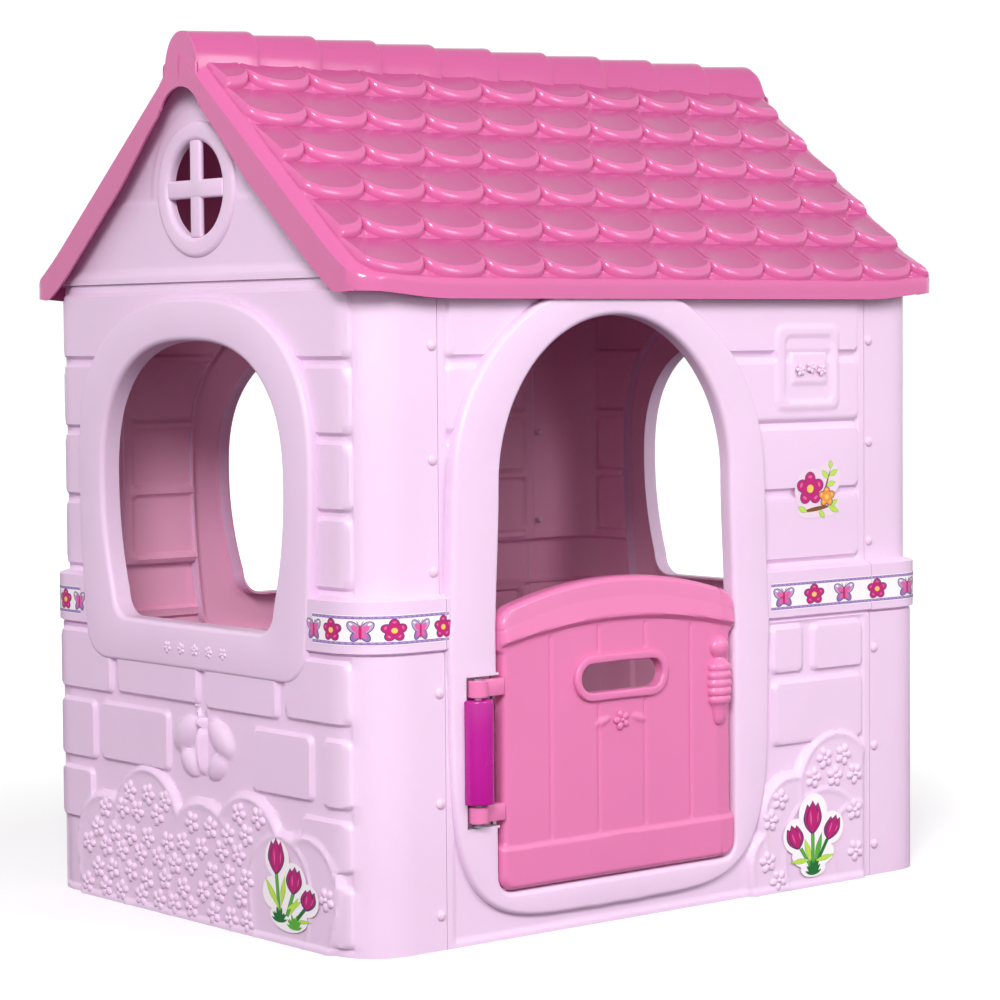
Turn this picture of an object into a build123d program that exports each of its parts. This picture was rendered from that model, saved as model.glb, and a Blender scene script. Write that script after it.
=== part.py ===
from build123d import *
import math
import os

os.makedirs("parts", exist_ok=True)

# Plastic playhouse, +Z up, the door side faces -Y, the ridge runs along X.
# Origin: middle of the footprint, on the floor.  Millimetres.

# ---- driving dimensions -------------------------------------------------
SKIN = 4.0             # moulded wall thickness
HALF_X = 530.0         # upper wall, outside, half length along the ridge
HALF_Y = 382.0         # upper wall, outside, half depth
CORNER_R = 60.0        # upright corners, upper wall
LOW_OUT = 10.5         # lower wall stands out from the upper wall
BAND_OUT = 15.0        # band stands out from the upper wall
BAND_LOW = 398.0
BAND_HIGH = 472.0
WALL_TOP = 892.0
SEAM_X = HALF_X - 122  # side walls wrap round the corners to these seams
LAP = 26.0             # tongue of the front and back walls behind the side walls
GAP = 0.2              # clearance between lapped pieces
SLIDE = 0.3            # clearance between pieces that move on each other
RUN = 0.06             # radial clearance of the hinge pin

PEG_R = 4.0
PEG_HEAD_R = 7.5
PEG_HEAD = 4.0
PEG_INSET = 9.0        # peg centre from the seam
PEG_Z = (47.0, 196.0, 343.0, WALL_TOP - 389, WALL_TOP - 241, WALL_TOP - 90)

WIN_HALF = 221.0       # window opening
WIN_BOTTOM = 416.0
WIN_WAIST = WALL_TOP - 282
WIN_TOP = WALL_TOP - 82
FRAME_HALF = WIN_HALF + 64  # raised frame round the window
FRAME_BOTTOM = 352.0
FRAME_TOP = WALL_TOP - 22
FRAME_OUT = 17.0       # frame face from the upper wall
REVEAL = 30.0          # depth of the flange round a window opening

DOOR_X = -101.0        # centre of the doorway
DOOR_HALF = 221.0
DOOR_BOTTOM = 64.0
DOOR_SPRING = WALL_TOP - 279  # start of the arch
DOOR_TOP = WALL_TOP - 51
DOOR_SURROUND = 76.0   # width of the raised surround
DOOR_OUT = 18.0
DOOR_REVEAL = 22.0
ARCH_CUT = WALL_TOP - 18

PANEL_GAP = 3.0        # half door to doorway
PANEL_TOP = 481.0
PANEL_SHOULDER = 445.0
PANEL_DEEP = 18.0
PANEL_RAISE = 4.0
RAIL_TOP = 127.0
PLANK = 87.0
SLOT_LONG = 150.0
SLOT_HIGH = 40.0
SLOT_Z = 343.0

HINGE_X = DOOR_X - DOOR_HALF - 38
HINGE_PROUD = 2.0      # hinge axis in front of the surround
BARREL_R = 21.5
BARREL_LOW = 191.0
BARREL_HIGH = 331.0
LUG_R = 14.0
LUG_HIGH = 23.0
PIN_R = 6.0
POCKET_SIDE = 17.0
POCKET_LOW = 158.0
POCKET_HIGH = 361.0

ROOF_HALF_X = HALF_X + 22
ROOF_HALF_Y = HALF_Y + 24
ROOF_RISE = 0.827      # rise over run
ROOF_LIP = 8.0         # each row of shingles steps up this much
ROWS = 6
EAVE_LOW = WALL_TOP - 29
RAKE = 46.0            # depth of the verge board, square to the slope
CAP_RISE = 28.0        # ridge cap above the crest of the slopes
CAP_HALF_X = ROOF_HALF_X - 4

GABLE_X = HALF_X - 8
RING_OUT = 8.0
RING_R = 95.0
ROUND_R = 66.0
ROUND_Z = WALL_TOP + 128
BAR = 28.0

STICKER = 0.3
FAR = 2000.0           # reach of cutting blocks

# ---- derived sizes --------------------------------------------------------
slope = math.atan(ROOF_RISE)
skin_drop = SKIN / math.cos(slope)
# upper skin of the slopes carried to the middle plane
ROOF_CREST = WALL_TOP + 2 + skin_drop + ROOF_RISE * HALF_Y
face_x = HALF_X + FRAME_OUT
face_y = HALF_Y + DOOR_OUT
back_face_y = HALF_Y + FRAME_OUT
hinge_y = -(face_y + HINGE_PROUD)
pocket_floor = HALF_Y + SKIN
panel_left = DOOR_X - DOOR_HALF + PANEL_GAP
panel_right = DOOR_X + DOOR_HALF - PANEL_GAP
panel_bottom = DOOR_BOTTOM + PANEL_GAP


# ---- planes that look into the house from each side ------------------------
def left_plane(x):
    return Plane(origin=(-x, 0, 0), x_dir=(0, 1, 0), z_dir=(1, 0, 0))


def front_plane(y):
    return Plane(origin=(0, -y, 0), x_dir=(-1, 0, 0), z_dir=(0, 1, 0))


def back_plane(y):
    return Plane(origin=(0, y, 0), x_dir=(1, 0, 0), z_dir=(0, -1, 0))


# ---- outlines --------------------------------------------------------------
def bow(reach, half, power):
    # half width of a rounded end at a reach between 0 (waist) and 1 (tip)
    return half * (1 - min(reach, 1.0) ** power) ** (1 / power)


def window_half(z, half, bottom, top, grow):
    # arched top, sides drawn in a little towards the sill, rounded lower corners
    waist = WIN_WAIST + grow * 0.4
    if z >= waist:
        return bow((z - waist) / (top - waist), half, 2.5)
    side = half - 15 * ((waist - z) / 123) ** 2 / (1 + grow / 32)
    corner = 30 + grow * 0.3
    if z < bottom + corner:
        rise = bottom + corner - z
        side = side - corner + math.sqrt(max(corner ** 2 - rise ** 2, 0))
    return side


def closed_outline(rows, centre):
    # a face from half widths measured at rising heights
    right = [(centre + w, z) for w, z in rows]
    left = [(centre - w, z) for w, z in reversed(rows) if w > 0.01]
    chain = right + left
    with BuildLine() as outline:
        for a, b, c in zip(chain[0::2], chain[1::2], chain[2::2]):
            turn = (b[0] - a[0]) * (c[1] - a[1]) - (b[1] - a[1]) * (c[0] - a[0])
            if abs(turn) < 5:
                Line(a, c)
            else:
                ThreePointArc(a, b, c)
        Line(chain[-1], chain[0])
    make_face(outline.edges())


def window_rows(half, bottom, top, grow):
    corner = 30 + grow * 0.3
    steps = [0, 0.04, 0.15, 0.35, 0.65, 1.0]
    zs = [bottom + corner * s for s in steps]
    waist = WIN_WAIST + grow * 0.4
    zs += [bottom + corner + (waist - bottom - corner) * k / 4 for k in (1, 2, 3, 4)]
    zs += [waist + (top - waist) * s for s in (0.3, 0.5, 0.68, 0.82, 0.92, 0.98, 1.0)]
    return [(window_half(z, half, bottom, top, grow), z) for z in zs]


def window_sketch(grow):
    span = (FRAME_HALF - WIN_HALF)
    rows = window_rows(
        WIN_HALF + span * grow,
        WIN_BOTTOM - (WIN_BOTTOM - FRAME_BOTTOM) * grow,
        WIN_TOP + (FRAME_TOP - WIN_TOP) * grow,
        64 * grow,
    )
    closed_outline(rows, 0)


def doorway_sketch():
    arch = DOOR_TOP - DOOR_SPRING
    rows = [(DOOR_HALF - 25, DOOR_BOTTOM), (DOOR_HALF - 7, DOOR_BOTTOM + 8)]
    rows += [(DOOR_HALF, DOOR_BOTTOM + 27), (DOOR_HALF, 240), (DOOR_HALF, 400)]
    rows += [(DOOR_HALF - 4, DOOR_SPRING - 123), (DOOR_HALF - 7, DOOR_SPRING)]
    for s in (0.3, 0.55, 0.75, 0.9, 0.97, 1.0):
        rows.append((bow(s, DOOR_HALF - 7, 2), DOOR_SPRING + arch * s))
    closed_outline(rows, -DOOR_X)


def surround_sketch():
    half = DOOR_HALF + DOOR_SURROUND
    foot = 430
    rows = []
    for s in (1.0, 0.985, 0.93, 0.8, 0.6, 0.3, 0.0):
        rows.append((bow(s, half, 5.5), foot - (foot - 25) * s))
    rows.append((half - 1, DOOR_SPRING - 113))
    top = WALL_TOP - 2
    for s in (0.0, 0.3, 0.55, 0.75, 0.9, 0.97, 1.0):
        rows.append((bow(s, half - 8, 2), DOOR_SPRING + (top - DOOR_SPRING) * s))
    rows[0] = (half * 0.62, rows[0][1])
    closed_outline(rows, -DOOR_X + 5)


# ---- shared wall shell -------------------------------------------------------
def wall_block(inset, mode):
    # lower wall, band and upper wall as three stacked outlines
    levels = (
        (0.0, BAND_LOW + inset, LOW_OUT),
        (BAND_LOW + inset, BAND_HIGH - inset, BAND_OUT),
        (BAND_HIGH - inset, WALL_TOP, 0.0),
    )
    for low, high, out in levels:
        with BuildSketch(Plane.XY.offset(low)) as level:
            RectangleRounded(
                2 * (HALF_X + out - inset), 2 * (HALF_Y + out - inset), CORNER_R + out - inset
            )
        extrude(level.sketch, amount=high - low, mode=mode)


def keep(x0, x1, y0, y1, z0, z1, mode=Mode.INTERSECT):
    with Locations(((x0 + x1) / 2, (y0 + y1) / 2, (z0 + z1) / 2)):
        Box(x1 - x0, y1 - y0, z1 - z0, mode=mode)


def raised_frame(plane, outer, inner, raise_face, wall_skin_depth, reveal):
    # hollow pressed frame: the wall skin is opened, then face, skirt and flange added
    with BuildSketch(plane(raise_face)) as whole:
        outer()
    extrude(whole.sketch, amount=wall_skin_depth)
    with BuildSketch(plane(raise_face - SKIN)) as hollow:
        outer()
        offset(amount=-SKIN)
    extrude(hollow.sketch, amount=wall_skin_depth + 40, mode=Mode.SUBTRACT)
    with BuildSketch(plane(raise_face)) as flange:
        inner()
        offset(amount=SKIN)
    extrude(flange.sketch, amount=reveal)
    with BuildSketch(plane(raise_face + 5)) as opening:
        inner()
    extrude(opening.sketch, amount=120, mode=Mode.SUBTRACT)


def wall_out(z):
    # how far the wall stands out from the upper wall at a height
    if z > BAND_HIGH:
        return 0.0
    return LOW_OUT if z < BAND_LOW else BAND_OUT


def peg_holes(seam_sign, side_sign):
    # through the skin and the tongue behind it, square to the front or back wall
    for z in PEG_Z:
        y = side_sign * (HALF_Y + wall_out(z))
        x = seam_sign * (SEAM_X + PEG_INSET)
        with Locations(Location((x, y, z), (90, 0, 0))):
            Cylinder(PEG_R + GAP, 40, mode=Mode.SUBTRACT)


def tongue(seam_sign, side_sign):
    # the wall edge is joggled inward and carries on behind the side wall
    inset = SKIN + GAP
    with BuildPart(mode=Mode.PRIVATE) as strip:
        wall_block(inset, Mode.ADD)
        wall_block(inset + SKIN, Mode.SUBTRACT)
        x0 = SEAM_X - 8
        x1 = SEAM_X + LAP
        low = min(seam_sign * x0, seam_sign * x1)
        keep(low, low + x1 - x0, min(0, side_sign * FAR), max(0, side_sign * FAR), 2, WALL_TOP - 8)
    add(strip.part)
    with BuildPart(mode=Mode.PRIVATE) as rib:
        wall_block(0, Mode.ADD)
        wall_block(inset + SKIN, Mode.SUBTRACT)
        low = min(seam_sign * x0, seam_sign * (SEAM_X - GAP))
        keep(low, low + 8 - GAP, min(0, side_sign * FAR), max(0, side_sign * FAR), 2, WALL_TOP - 8)
    add(rib.part)


# ---- side walls ----------------------------------------------------------------
# one moulding wraps both corners; shelf on top carries the gable
SHELF = 30.0
SHELF_PEGS_Y = (-255.0, -90.0, 90.0, 255.0)
with BuildPart() as left_wall:
    wall_block(0, Mode.ADD)
    wall_block(SKIN, Mode.SUBTRACT)
    with BuildSketch(Plane.XY.offset(WALL_TOP - SKIN)):
        RectangleRounded(2 * HALF_X, 2 * HALF_Y, CORNER_R)
        RectangleRounded(2 * (HALF_X - SHELF), 2 * (HALF_Y - SHELF), CORNER_R - SHELF,
                         mode=Mode.SUBTRACT)
    extrude(amount=SKIN)
    keep(-FAR, -SEAM_X, -FAR, FAR, -5, WALL_TOP + 5)
    keep(-SEAM_X - 90, -SEAM_X + 1, -HALF_Y + SKIN, HALF_Y - SKIN, WALL_TOP - 9, WALL_TOP + 1,
         Mode.SUBTRACT)
    raised_frame(
        left_plane, lambda: window_sketch(1.0), lambda: window_sketch(0.0),
        face_x, FRAME_OUT + SKIN, REVEAL,
    )
    peg_holes(-1, -1)
    peg_holes(-1, 1)
    for y in SHELF_PEGS_Y:
        with Locations((-(GABLE_X - SKIN - 12), y, WALL_TOP)):
            Cylinder(PEG_R + GAP, 30, mode=Mode.SUBTRACT)
left_wall.part.label = "left_wall"

with BuildPart() as right_wall:
    add(mirror(left_wall.part, about=Plane.YZ))
right_wall.part.label = "right_wall"

# ---- front wall ------------------------------------------------------------------
# doorway with a raised surround, hinge pocket in it and a stop lip behind the door
with BuildPart() as front_wall:
    wall_block(0, Mode.ADD)
    wall_block(SKIN, Mode.SUBTRACT)
    keep(-SEAM_X + GAP, SEAM_X - GAP, -FAR, -HALF_Y / 2, -5, WALL_TOP)
    raised_frame(
        front_plane, surround_sketch, doorway_sketch, face_y, DOOR_OUT + SKIN, DOOR_REVEAL,
    )
    # pocket for the hinge: walls first, then the hollow
    p0 = HINGE_X - POCKET_SIDE
    p1 = DOOR_X - DOOR_HALF + SKIN
    keep(p0 - SKIN, p1, -face_y, -HALF_Y, POCKET_LOW - SKIN, POCKET_HIGH + SKIN, Mode.ADD)
    keep(p0, p1 + 5, -face_y - 5, -pocket_floor, POCKET_LOW, POCKET_HIGH, Mode.SUBTRACT)
    with BuildSketch(front_plane(face_y + 5)):
        doorway_sketch()
    extrude(amount=120, mode=Mode.SUBTRACT)
    # the arch runs up under the eave: cut off level, closed over and carried to the wall top
    keep(-SEAM_X + 10, SEAM_X - 10, -FAR, -HALF_Y, ARCH_CUT, WALL_TOP + 5, Mode.SUBTRACT)
    keep(DOOR_X - 112, DOOR_X + 104, -face_y, -HALF_Y + SKIN, ARCH_CUT - SKIN, ARCH_CUT, Mode.ADD)
    keep(DOOR_X - 112, DOOR_X + 104, -HALF_Y, -HALF_Y + SKIN, ARCH_CUT - SKIN, WALL_TOP, Mode.ADD)
    # stop lip behind the closing edge of the door
    x_edge = DOOR_X + DOOR_HALF
    lip_y = -(face_y - PANEL_DEEP - 1.0)
    keep(x_edge - 12, x_edge + 3, lip_y, lip_y + 4, 200, 380, Mode.ADD)
    tongue(-1, -1)
    tongue(1, -1)
    peg_holes(-1, -1)
    peg_holes(1, -1)
    for z in (BARREL_LOW + 30, BARREL_HIGH - 30):
        with Locations(Location((HINGE_X, -HALF_Y, z), (90, 0, 0))):
            Cylinder(3.2, 30, mode=Mode.SUBTRACT)
front_wall.part.label = "front_wall"

# ---- back wall ---------------------------------------------------------------------
with BuildPart() as back_wall:
    wall_block(0, Mode.ADD)
    wall_block(SKIN, Mode.SUBTRACT)
    keep(-SEAM_X + GAP, SEAM_X - GAP, HALF_Y / 2, FAR, -5, WALL_TOP)
    raised_frame(
        back_plane, lambda: window_sketch(1.0), lambda: window_sketch(0.0),
        back_face_y, FRAME_OUT + SKIN, REVEAL,
    )
    tongue(-1, 1)
    tongue(1, 1)
    peg_holes(-1, 1)
    peg_holes(1, 1)
back_wall.part.label = "back_wall"


# ---- seam pegs: domed head outside, shank, snap ring inside ---------------------------
def seam_pegs(seam_sign, side_sign):
    for z in PEG_Z:
        y = side_sign * (HALF_Y + wall_out(z))
        x = seam_sign * (SEAM_X + PEG_INSET)
        turn = 90 if side_sign < 0 else -90
        with Locations(Location((x, y, z), (turn, 0, 0))):
            with Locations((0, 0, PEG_HEAD / 2)):
                Cylinder(PEG_HEAD_R, PEG_HEAD)
            with Locations((0, 0, -(2 * SKIN + GAP) / 2 - 0.4)):
                Cylinder(PEG_R, 2 * SKIN + GAP + 1.2)
            with Locations((0, 0, -(2 * SKIN + GAP) - 3.4)):
                Cylinder(PEG_R + 1.5, 6)


with BuildPart() as pegs_front_left:
    seam_pegs(-1, -1)
pegs_front_left.part.label = "pegs_front_left"

with BuildPart() as pegs_front_right:
    seam_pegs(1, -1)
pegs_front_right.part.label = "pegs_front_right"

with BuildPart() as pegs_back_left:
    seam_pegs(-1, 1)
pegs_back_left.part.label = "pegs_back_left"

with BuildPart() as pegs_back_right:
    seam_pegs(1, 1)
pegs_back_right.part.label = "pegs_back_right"


# ---- gables ------------------------------------------------------------------------------
def under_roof(y, gap):
    # height of the underside of the roof skin, less a gap
    return ROOF_CREST - skin_drop - ROOF_RISE * abs(y) - gap


FLANGE_DROP = 18.0     # sloping flange lies this far under the roof
GABLE_HALF = (under_roof(0, 1.5) - WALL_TOP) / ROOF_RISE - 5
FOOT_HIGH = 18.0
ROOF_PEG_Y = (115.0, 275.0)


def gable_face(gap, low):
    top = under_roof(0, gap)
    half = (top - low) / ROOF_RISE
    clip = min(half - 0.5, GABLE_HALF)
    with BuildLine() as outline:
        Polyline((-clip, low), (clip, low), (clip, under_roof(clip, gap)), (0, top),
                 (-clip, under_roof(clip, gap)), close=True)
    make_face(outline.edges())


with BuildPart() as left_gable:
    with BuildSketch(left_plane(GABLE_X)):
        gable_face(1.5, WALL_TOP)
    extrude(amount=SKIN)
    # flared foot
    foot = (under_roof(0, 1.5) - WALL_TOP - FOOT_HIGH) / ROOF_RISE - 2
    keep(-HALF_X, -GABLE_X + 1, -foot, foot, WALL_TOP, WALL_TOP + FOOT_HIGH, Mode.ADD)
    # shelf flange under the gable and two sloping flanges under the roof
    keep(-GABLE_X + 1, -GABLE_X + SHELF - 4, -GABLE_HALF + 40, GABLE_HALF - 40,
         WALL_TOP, WALL_TOP + SKIN, Mode.ADD)
    with BuildSketch(left_plane(GABLE_X)):
        gable_face(FLANGE_DROP, WALL_TOP + 30)
        with BuildSketch(mode=Mode.PRIVATE) as inner_face:
            gable_face(FLANGE_DROP + skin_drop, WALL_TOP + 30)
        add(inner_face.sketch, mode=Mode.SUBTRACT)
    extrude(amount=SHELF)
    # round window: raised ring, opening and a cross of bars
    with BuildSketch(left_plane(GABLE_X + RING_OUT)):
        with Locations((0, ROUND_Z)):
            Circle(RING_R)
    extrude(amount=RING_OUT + 1)
    with BuildSketch(left_plane(GABLE_X + RING_OUT + 5)):
        with Locations((0, ROUND_Z)):
            Circle(ROUND_R)
    extrude(amount=60, mode=Mode.SUBTRACT)
    with BuildSketch(left_plane(GABLE_X + RING_OUT)):
        with Locations((0, ROUND_Z)):
            Rectangle(2 * ROUND_R + 4, BAR)
            Rectangle(BAR, 2 * ROUND_R + 4)
    extrude(amount=RING_OUT)
    for y in SHELF_PEGS_Y:
        with Locations((-(GABLE_X - SKIN - 12), y, WALL_TOP)):
            Cylinder(PEG_R + GAP, 30, mode=Mode.SUBTRACT)
    for y in (-ROOF_PEG_Y[1], -ROOF_PEG_Y[0], ROOF_PEG_Y[0], ROOF_PEG_Y[1]):
        tilt = math.degrees(slope) * (1 if y < 0 else -1)
        spot = (-(GABLE_X - 17), y, under_roof(y, 0))
        with Locations(Location(spot, (tilt, 0, 0))):
            with Locations((0, 0, -FLANGE_DROP * math.cos(slope) - SKIN / 2)):
                Cylinder(PEG_R + GAP, SKIN + 4, mode=Mode.SUBTRACT)
left_gable.part.label = "left_gable"

with BuildPart() as right_gable:
    add(mirror(left_gable.part, about=Plane.YZ))
right_gable.part.label = "right_gable"

# ---- pegs that hold the gable down on the shelf ------------------------------------------
with BuildPart() as gable_pegs_left:
    for y in SHELF_PEGS_Y:
        with Locations((-(GABLE_X - SKIN - 12), y, WALL_TOP)):
            Cylinder(PEG_R, 2 * SKIN + 0.8)
            with Locations((0, 0, SKIN + PEG_HEAD / 2)):
                Cylinder(PEG_HEAD_R, PEG_HEAD)
            with Locations((0, 0, -SKIN - 3.2)):
                Cylinder(PEG_R + 1.5, 6)
gable_pegs_left.part.label = "gable_pegs_left"

with BuildPart() as gable_pegs_right:
    add(mirror(gable_pegs_left.part, about=Plane.YZ))
gable_pegs_right.part.label = "gable_pegs_right"

# ---- roof halves ---------------------------------------------------------------------------
ROW = (ROOF_HALF_Y - 8) / ROWS
BOSS = 10.0


def roof_top(y):
    return ROOF_CREST - ROOF_RISE * abs(y)


def roof_points(sign):
    # sawtooth of shingle rows above, straight skin below, eave lip at the foot
    pts = [(sign * 2.0, roof_top(2.0))]
    for k in range(1, ROWS + 1):
        y = k * ROW
        pts.append((sign * y, roof_top(y) + ROOF_LIP))
        if k < ROWS:
            pts.append((sign * y, roof_top(y)))
    pts.append((sign * ROOF_HALF_Y, roof_top(ROOF_HALF_Y) + ROOF_LIP + 4))
    pts.append((sign * ROOF_HALF_Y, EAVE_LOW))
    pts.append((sign * (ROOF_HALF_Y - SKIN), EAVE_LOW))
    pts.append((sign * (ROOF_HALF_Y - SKIN), roof_top(ROOF_HALF_Y - SKIN) - skin_drop))
    pts.append((sign * 2.0, roof_top(2.0) - skin_drop))
    return pts


def roof_half(sign):
    with BuildSketch(left_plane(ROOF_HALF_X)) as section:
        with BuildLine():
            Polyline(*roof_points(sign), close=True)
        make_face()
    extrude(section.sketch, amount=2 * ROOF_HALF_X)
    # verge boards hang down at both ends
    drop = RAKE / math.cos(slope)
    for x in (ROOF_HALF_X, -(ROOF_HALF_X - SKIN - 1)):
        with BuildSketch(left_plane(x)) as verge:
            with BuildLine():
                low = sign * (ROOF_HALF_Y - 1)
                edge = sign * ROOF_HALF_Y * 0.955
                Polyline(
                    (sign * 2.0, roof_top(2.0) - 1), (low, roof_top(low) - 1), (low, EAVE_LOW),
                    (edge, EAVE_LOW), (sign * 2.0, roof_top(2.0) - drop), close=True,
                )
            make_face()
        extrude(verge.sketch, amount=SKIN + 1)
    # blind bosses for the roof pegs
    for x in (-(GABLE_X - 17), GABLE_X - 17):
        for y in ROOF_PEG_Y:
            tilt = -math.degrees(slope) * sign
            spot = (x, sign * y, under_roof(y, 0))
            with Locations(Location(spot, (tilt, 0, 0))):
                with Locations((0, 0, -BOSS / 2 + 0.5)):
                    Cylinder(PEG_R + 5, BOSS + 1)
                with Locations((0, 0, -BOSS / 2)):
                    Cylinder(PEG_R + GAP, BOSS + 0.01, mode=Mode.SUBTRACT)


CAP_OUT = (
    (58, ROOF_CREST - 43), (48, ROOF_CREST - 15), (37, ROOF_CREST + 11),
    (22, ROOF_CREST + CAP_RISE - 4), (0, ROOF_CREST + CAP_RISE),
)


def cap_ring(inset):
    # ridge cap section, drawn in by inset
    right = [(y - inset * (1.0 if y > 0 else 0), z - inset * 0.9) for y, z in CAP_OUT]
    left = [(-y, z) for y, z in reversed(right) if y > 0]
    return right + left


with BuildPart() as roof_front:
    roof_half(-1)
    with BuildSketch(left_plane(CAP_HALF_X)):
        with BuildLine():
            Polyline(*cap_ring(0), close=True)
        make_face()
    extrude(amount=2 * CAP_HALF_X)
    with BuildSketch(left_plane(CAP_HALF_X - SKIN)):
        with BuildLine():
            Polyline(*[(y, z) for y, z in cap_ring(SKIN)], close=True)
        make_face()
    extrude(amount=2 * (CAP_HALF_X - SKIN), mode=Mode.SUBTRACT)
    # clear the way for the back half and for the cabin
    with BuildSketch(left_plane(ROOF_HALF_X + 5)):
        with BuildLine():
            Polyline((0.5, WALL_TOP + 108), (0.5, roof_top(0) + SLIDE), (12, roof_top(12) + ROOF_LIP * 0.3),
                     (ROW + 4, roof_top(ROW + 4) + ROOF_LIP + 1), (200, WALL_TOP + 108), close=True)
        make_face()
    extrude(amount=2 * ROOF_HALF_X + 10, mode=Mode.SUBTRACT)
    with BuildSketch(left_plane(ROOF_HALF_X - SKIN - 1)):
        with BuildLine():
            Polyline((0.5, under_roof(2, 0)), (-120, under_roof(120, 0)), (-120, WALL_TOP + 108),
                     (0.5, WALL_TOP + 108), close=True)
        make_face()
    extrude(amount=2 * (ROOF_HALF_X - SKIN - 1), mode=Mode.SUBTRACT)
    for x in (-(GABLE_X - 17), GABLE_X - 17):
        spot = (x, -ROOF_PEG_Y[0], under_roof(ROOF_PEG_Y[0], 0))
        with Locations(Location(spot, (math.degrees(slope), 0, 0))):
            with Locations((0, 0, -BOSS / 2 + 0.5)):
                Cylinder(PEG_R + 5, BOSS + 1)
            with Locations((0, 0, -BOSS / 2)):
                Cylinder(PEG_R + GAP, BOSS + 0.01, mode=Mode.SUBTRACT)
roof_front.part.label = "roof_front"

with BuildPart() as roof_back:
    roof_half(1)
roof_back.part.label = "roof_back"

# ---- pegs from below into the roof bosses ---------------------------------------------------
with BuildPart() as roof_pegs_left:
    for y in (-ROOF_PEG_Y[1], -ROOF_PEG_Y[0], ROOF_PEG_Y[0], ROOF_PEG_Y[1]):
        tilt = math.degrees(slope) * (1 if y < 0 else -1)
        spot = (-(GABLE_X - 17), y, under_roof(y, 0))
        fall = FLANGE_DROP * math.cos(slope)
        with Locations(Location(spot, (tilt, 0, 0))):
            with Locations((0, 0, -(fall + SKIN + 0.5) / 2 - 0.5)):
                Cylinder(PEG_R, fall + SKIN + 0.5)
            with Locations((0, 0, -(fall + SKIN) - 0.6 - PEG_HEAD / 2)):
                Cylinder(PEG_HEAD_R, PEG_HEAD)
roof_pegs_left.part.label = "roof_pegs_left"

with BuildPart() as roof_pegs_right:
    add(mirror(roof_pegs_left.part, about=Plane.YZ))
roof_pegs_right.part.label = "roof_pegs_right"

# ---- hinge: barrel seated in the pocket, pin through it, two screws from inside ---------------
with BuildPart() as hinge_barrel:
    with BuildSketch(Plane.XY.offset(BARREL_LOW)):
        with Locations((HINGE_X, hinge_y)):
            Circle(BARREL_R)
    extrude(amount=BARREL_HIGH - BARREL_LOW)
    keep(-FAR, FAR, -FAR, -pocket_floor, 0, FAR)
    keep(HINGE_X - POCKET_SIDE + 1, HINGE_X + POCKET_SIDE - 1, -face_y, -pocket_floor,
         BARREL_LOW, BARREL_HIGH, Mode.ADD)
    keep(HINGE_X - BARREL_R - 1, HINGE_X - POCKET_SIDE + 1, -face_y - 1, -HALF_Y,
         BARREL_LOW - 1, BARREL_HIGH + 1, Mode.SUBTRACT)
    keep(HINGE_X + POCKET_SIDE - 1, HINGE_X + BARREL_R + 1, -face_y - 1, -HALF_Y,
         BARREL_LOW - 1, BARREL_HIGH + 1, Mode.SUBTRACT)
    with Locations((HINGE_X, hinge_y, (BARREL_LOW + BARREL_HIGH) / 2)):
        Cylinder(PIN_R + RUN, BARREL_HIGH - BARREL_LOW + 2, mode=Mode.SUBTRACT)
    for z in (BARREL_LOW + 30, BARREL_HIGH - 30):
        with Locations(Location((HINGE_X, -pocket_floor - 3, z), (90, 0, 0))):
            Cylinder(2.6, 8, mode=Mode.SUBTRACT)
hinge_barrel.part.label = "hinge_barrel"

PIN_LOW = POCKET_LOW + 2
with BuildPart() as hinge_pin:
    with BuildSketch(Plane.XY.offset(PIN_LOW + 3)):
        with Locations((HINGE_X, hinge_y)):
            Circle(PIN_R)
    extrude(amount=POCKET_HIGH - PIN_LOW - 5)
    with BuildSketch(Plane.XY.offset(PIN_LOW)):
        with Locations((HINGE_X, hinge_y)):
            Circle(PIN_R + 2.5)
    extrude(amount=3)
hinge_pin.part.label = "hinge_pin"

with BuildPart() as hinge_screws:
    for z in (BARREL_LOW + 30, BARREL_HIGH - 30):
        with Locations(Location((HINGE_X, -pocket_floor, z), (90, 0, 0))):
            with Locations((0, 0, (6 - SKIN) / 2)):
                Cylinder(2.5, SKIN + 8)
            with Locations((0, 0, -SKIN - 1.6)):
                Cylinder(5.5, 3)
hinge_screws.part.label = "hinge_screws"


# ---- half door --------------------------------------------------------------------------------
def panel_sketch():
    # drawn in the front plane, where the first coordinate is -x
    a = -panel_right
    b = -panel_left
    mid = (a + b) / 2
    with BuildLine() as outline:
        Polyline((b, PANEL_SHOULDER), (b, panel_bottom), (a, panel_bottom), (a, PANEL_SHOULDER))
        ThreePointArc((a, PANEL_SHOULDER), (mid, PANEL_TOP), (b, PANEL_SHOULDER))
    make_face(outline.edges())


def cap_sketch():
    a = -panel_right
    b = -panel_left
    mid = (a + b) / 2
    with BuildLine() as outline:
        Line((b, PANEL_SHOULDER), (b, 394))
        ThreePointArc((b, 394), (mid, 420), (a, 394))
        Line((a, 394), (a, PANEL_SHOULDER))
        ThreePointArc((a, PANEL_SHOULDER), (mid, PANEL_TOP), (b, PANEL_SHOULDER))
    make_face(outline.edges())


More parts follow.
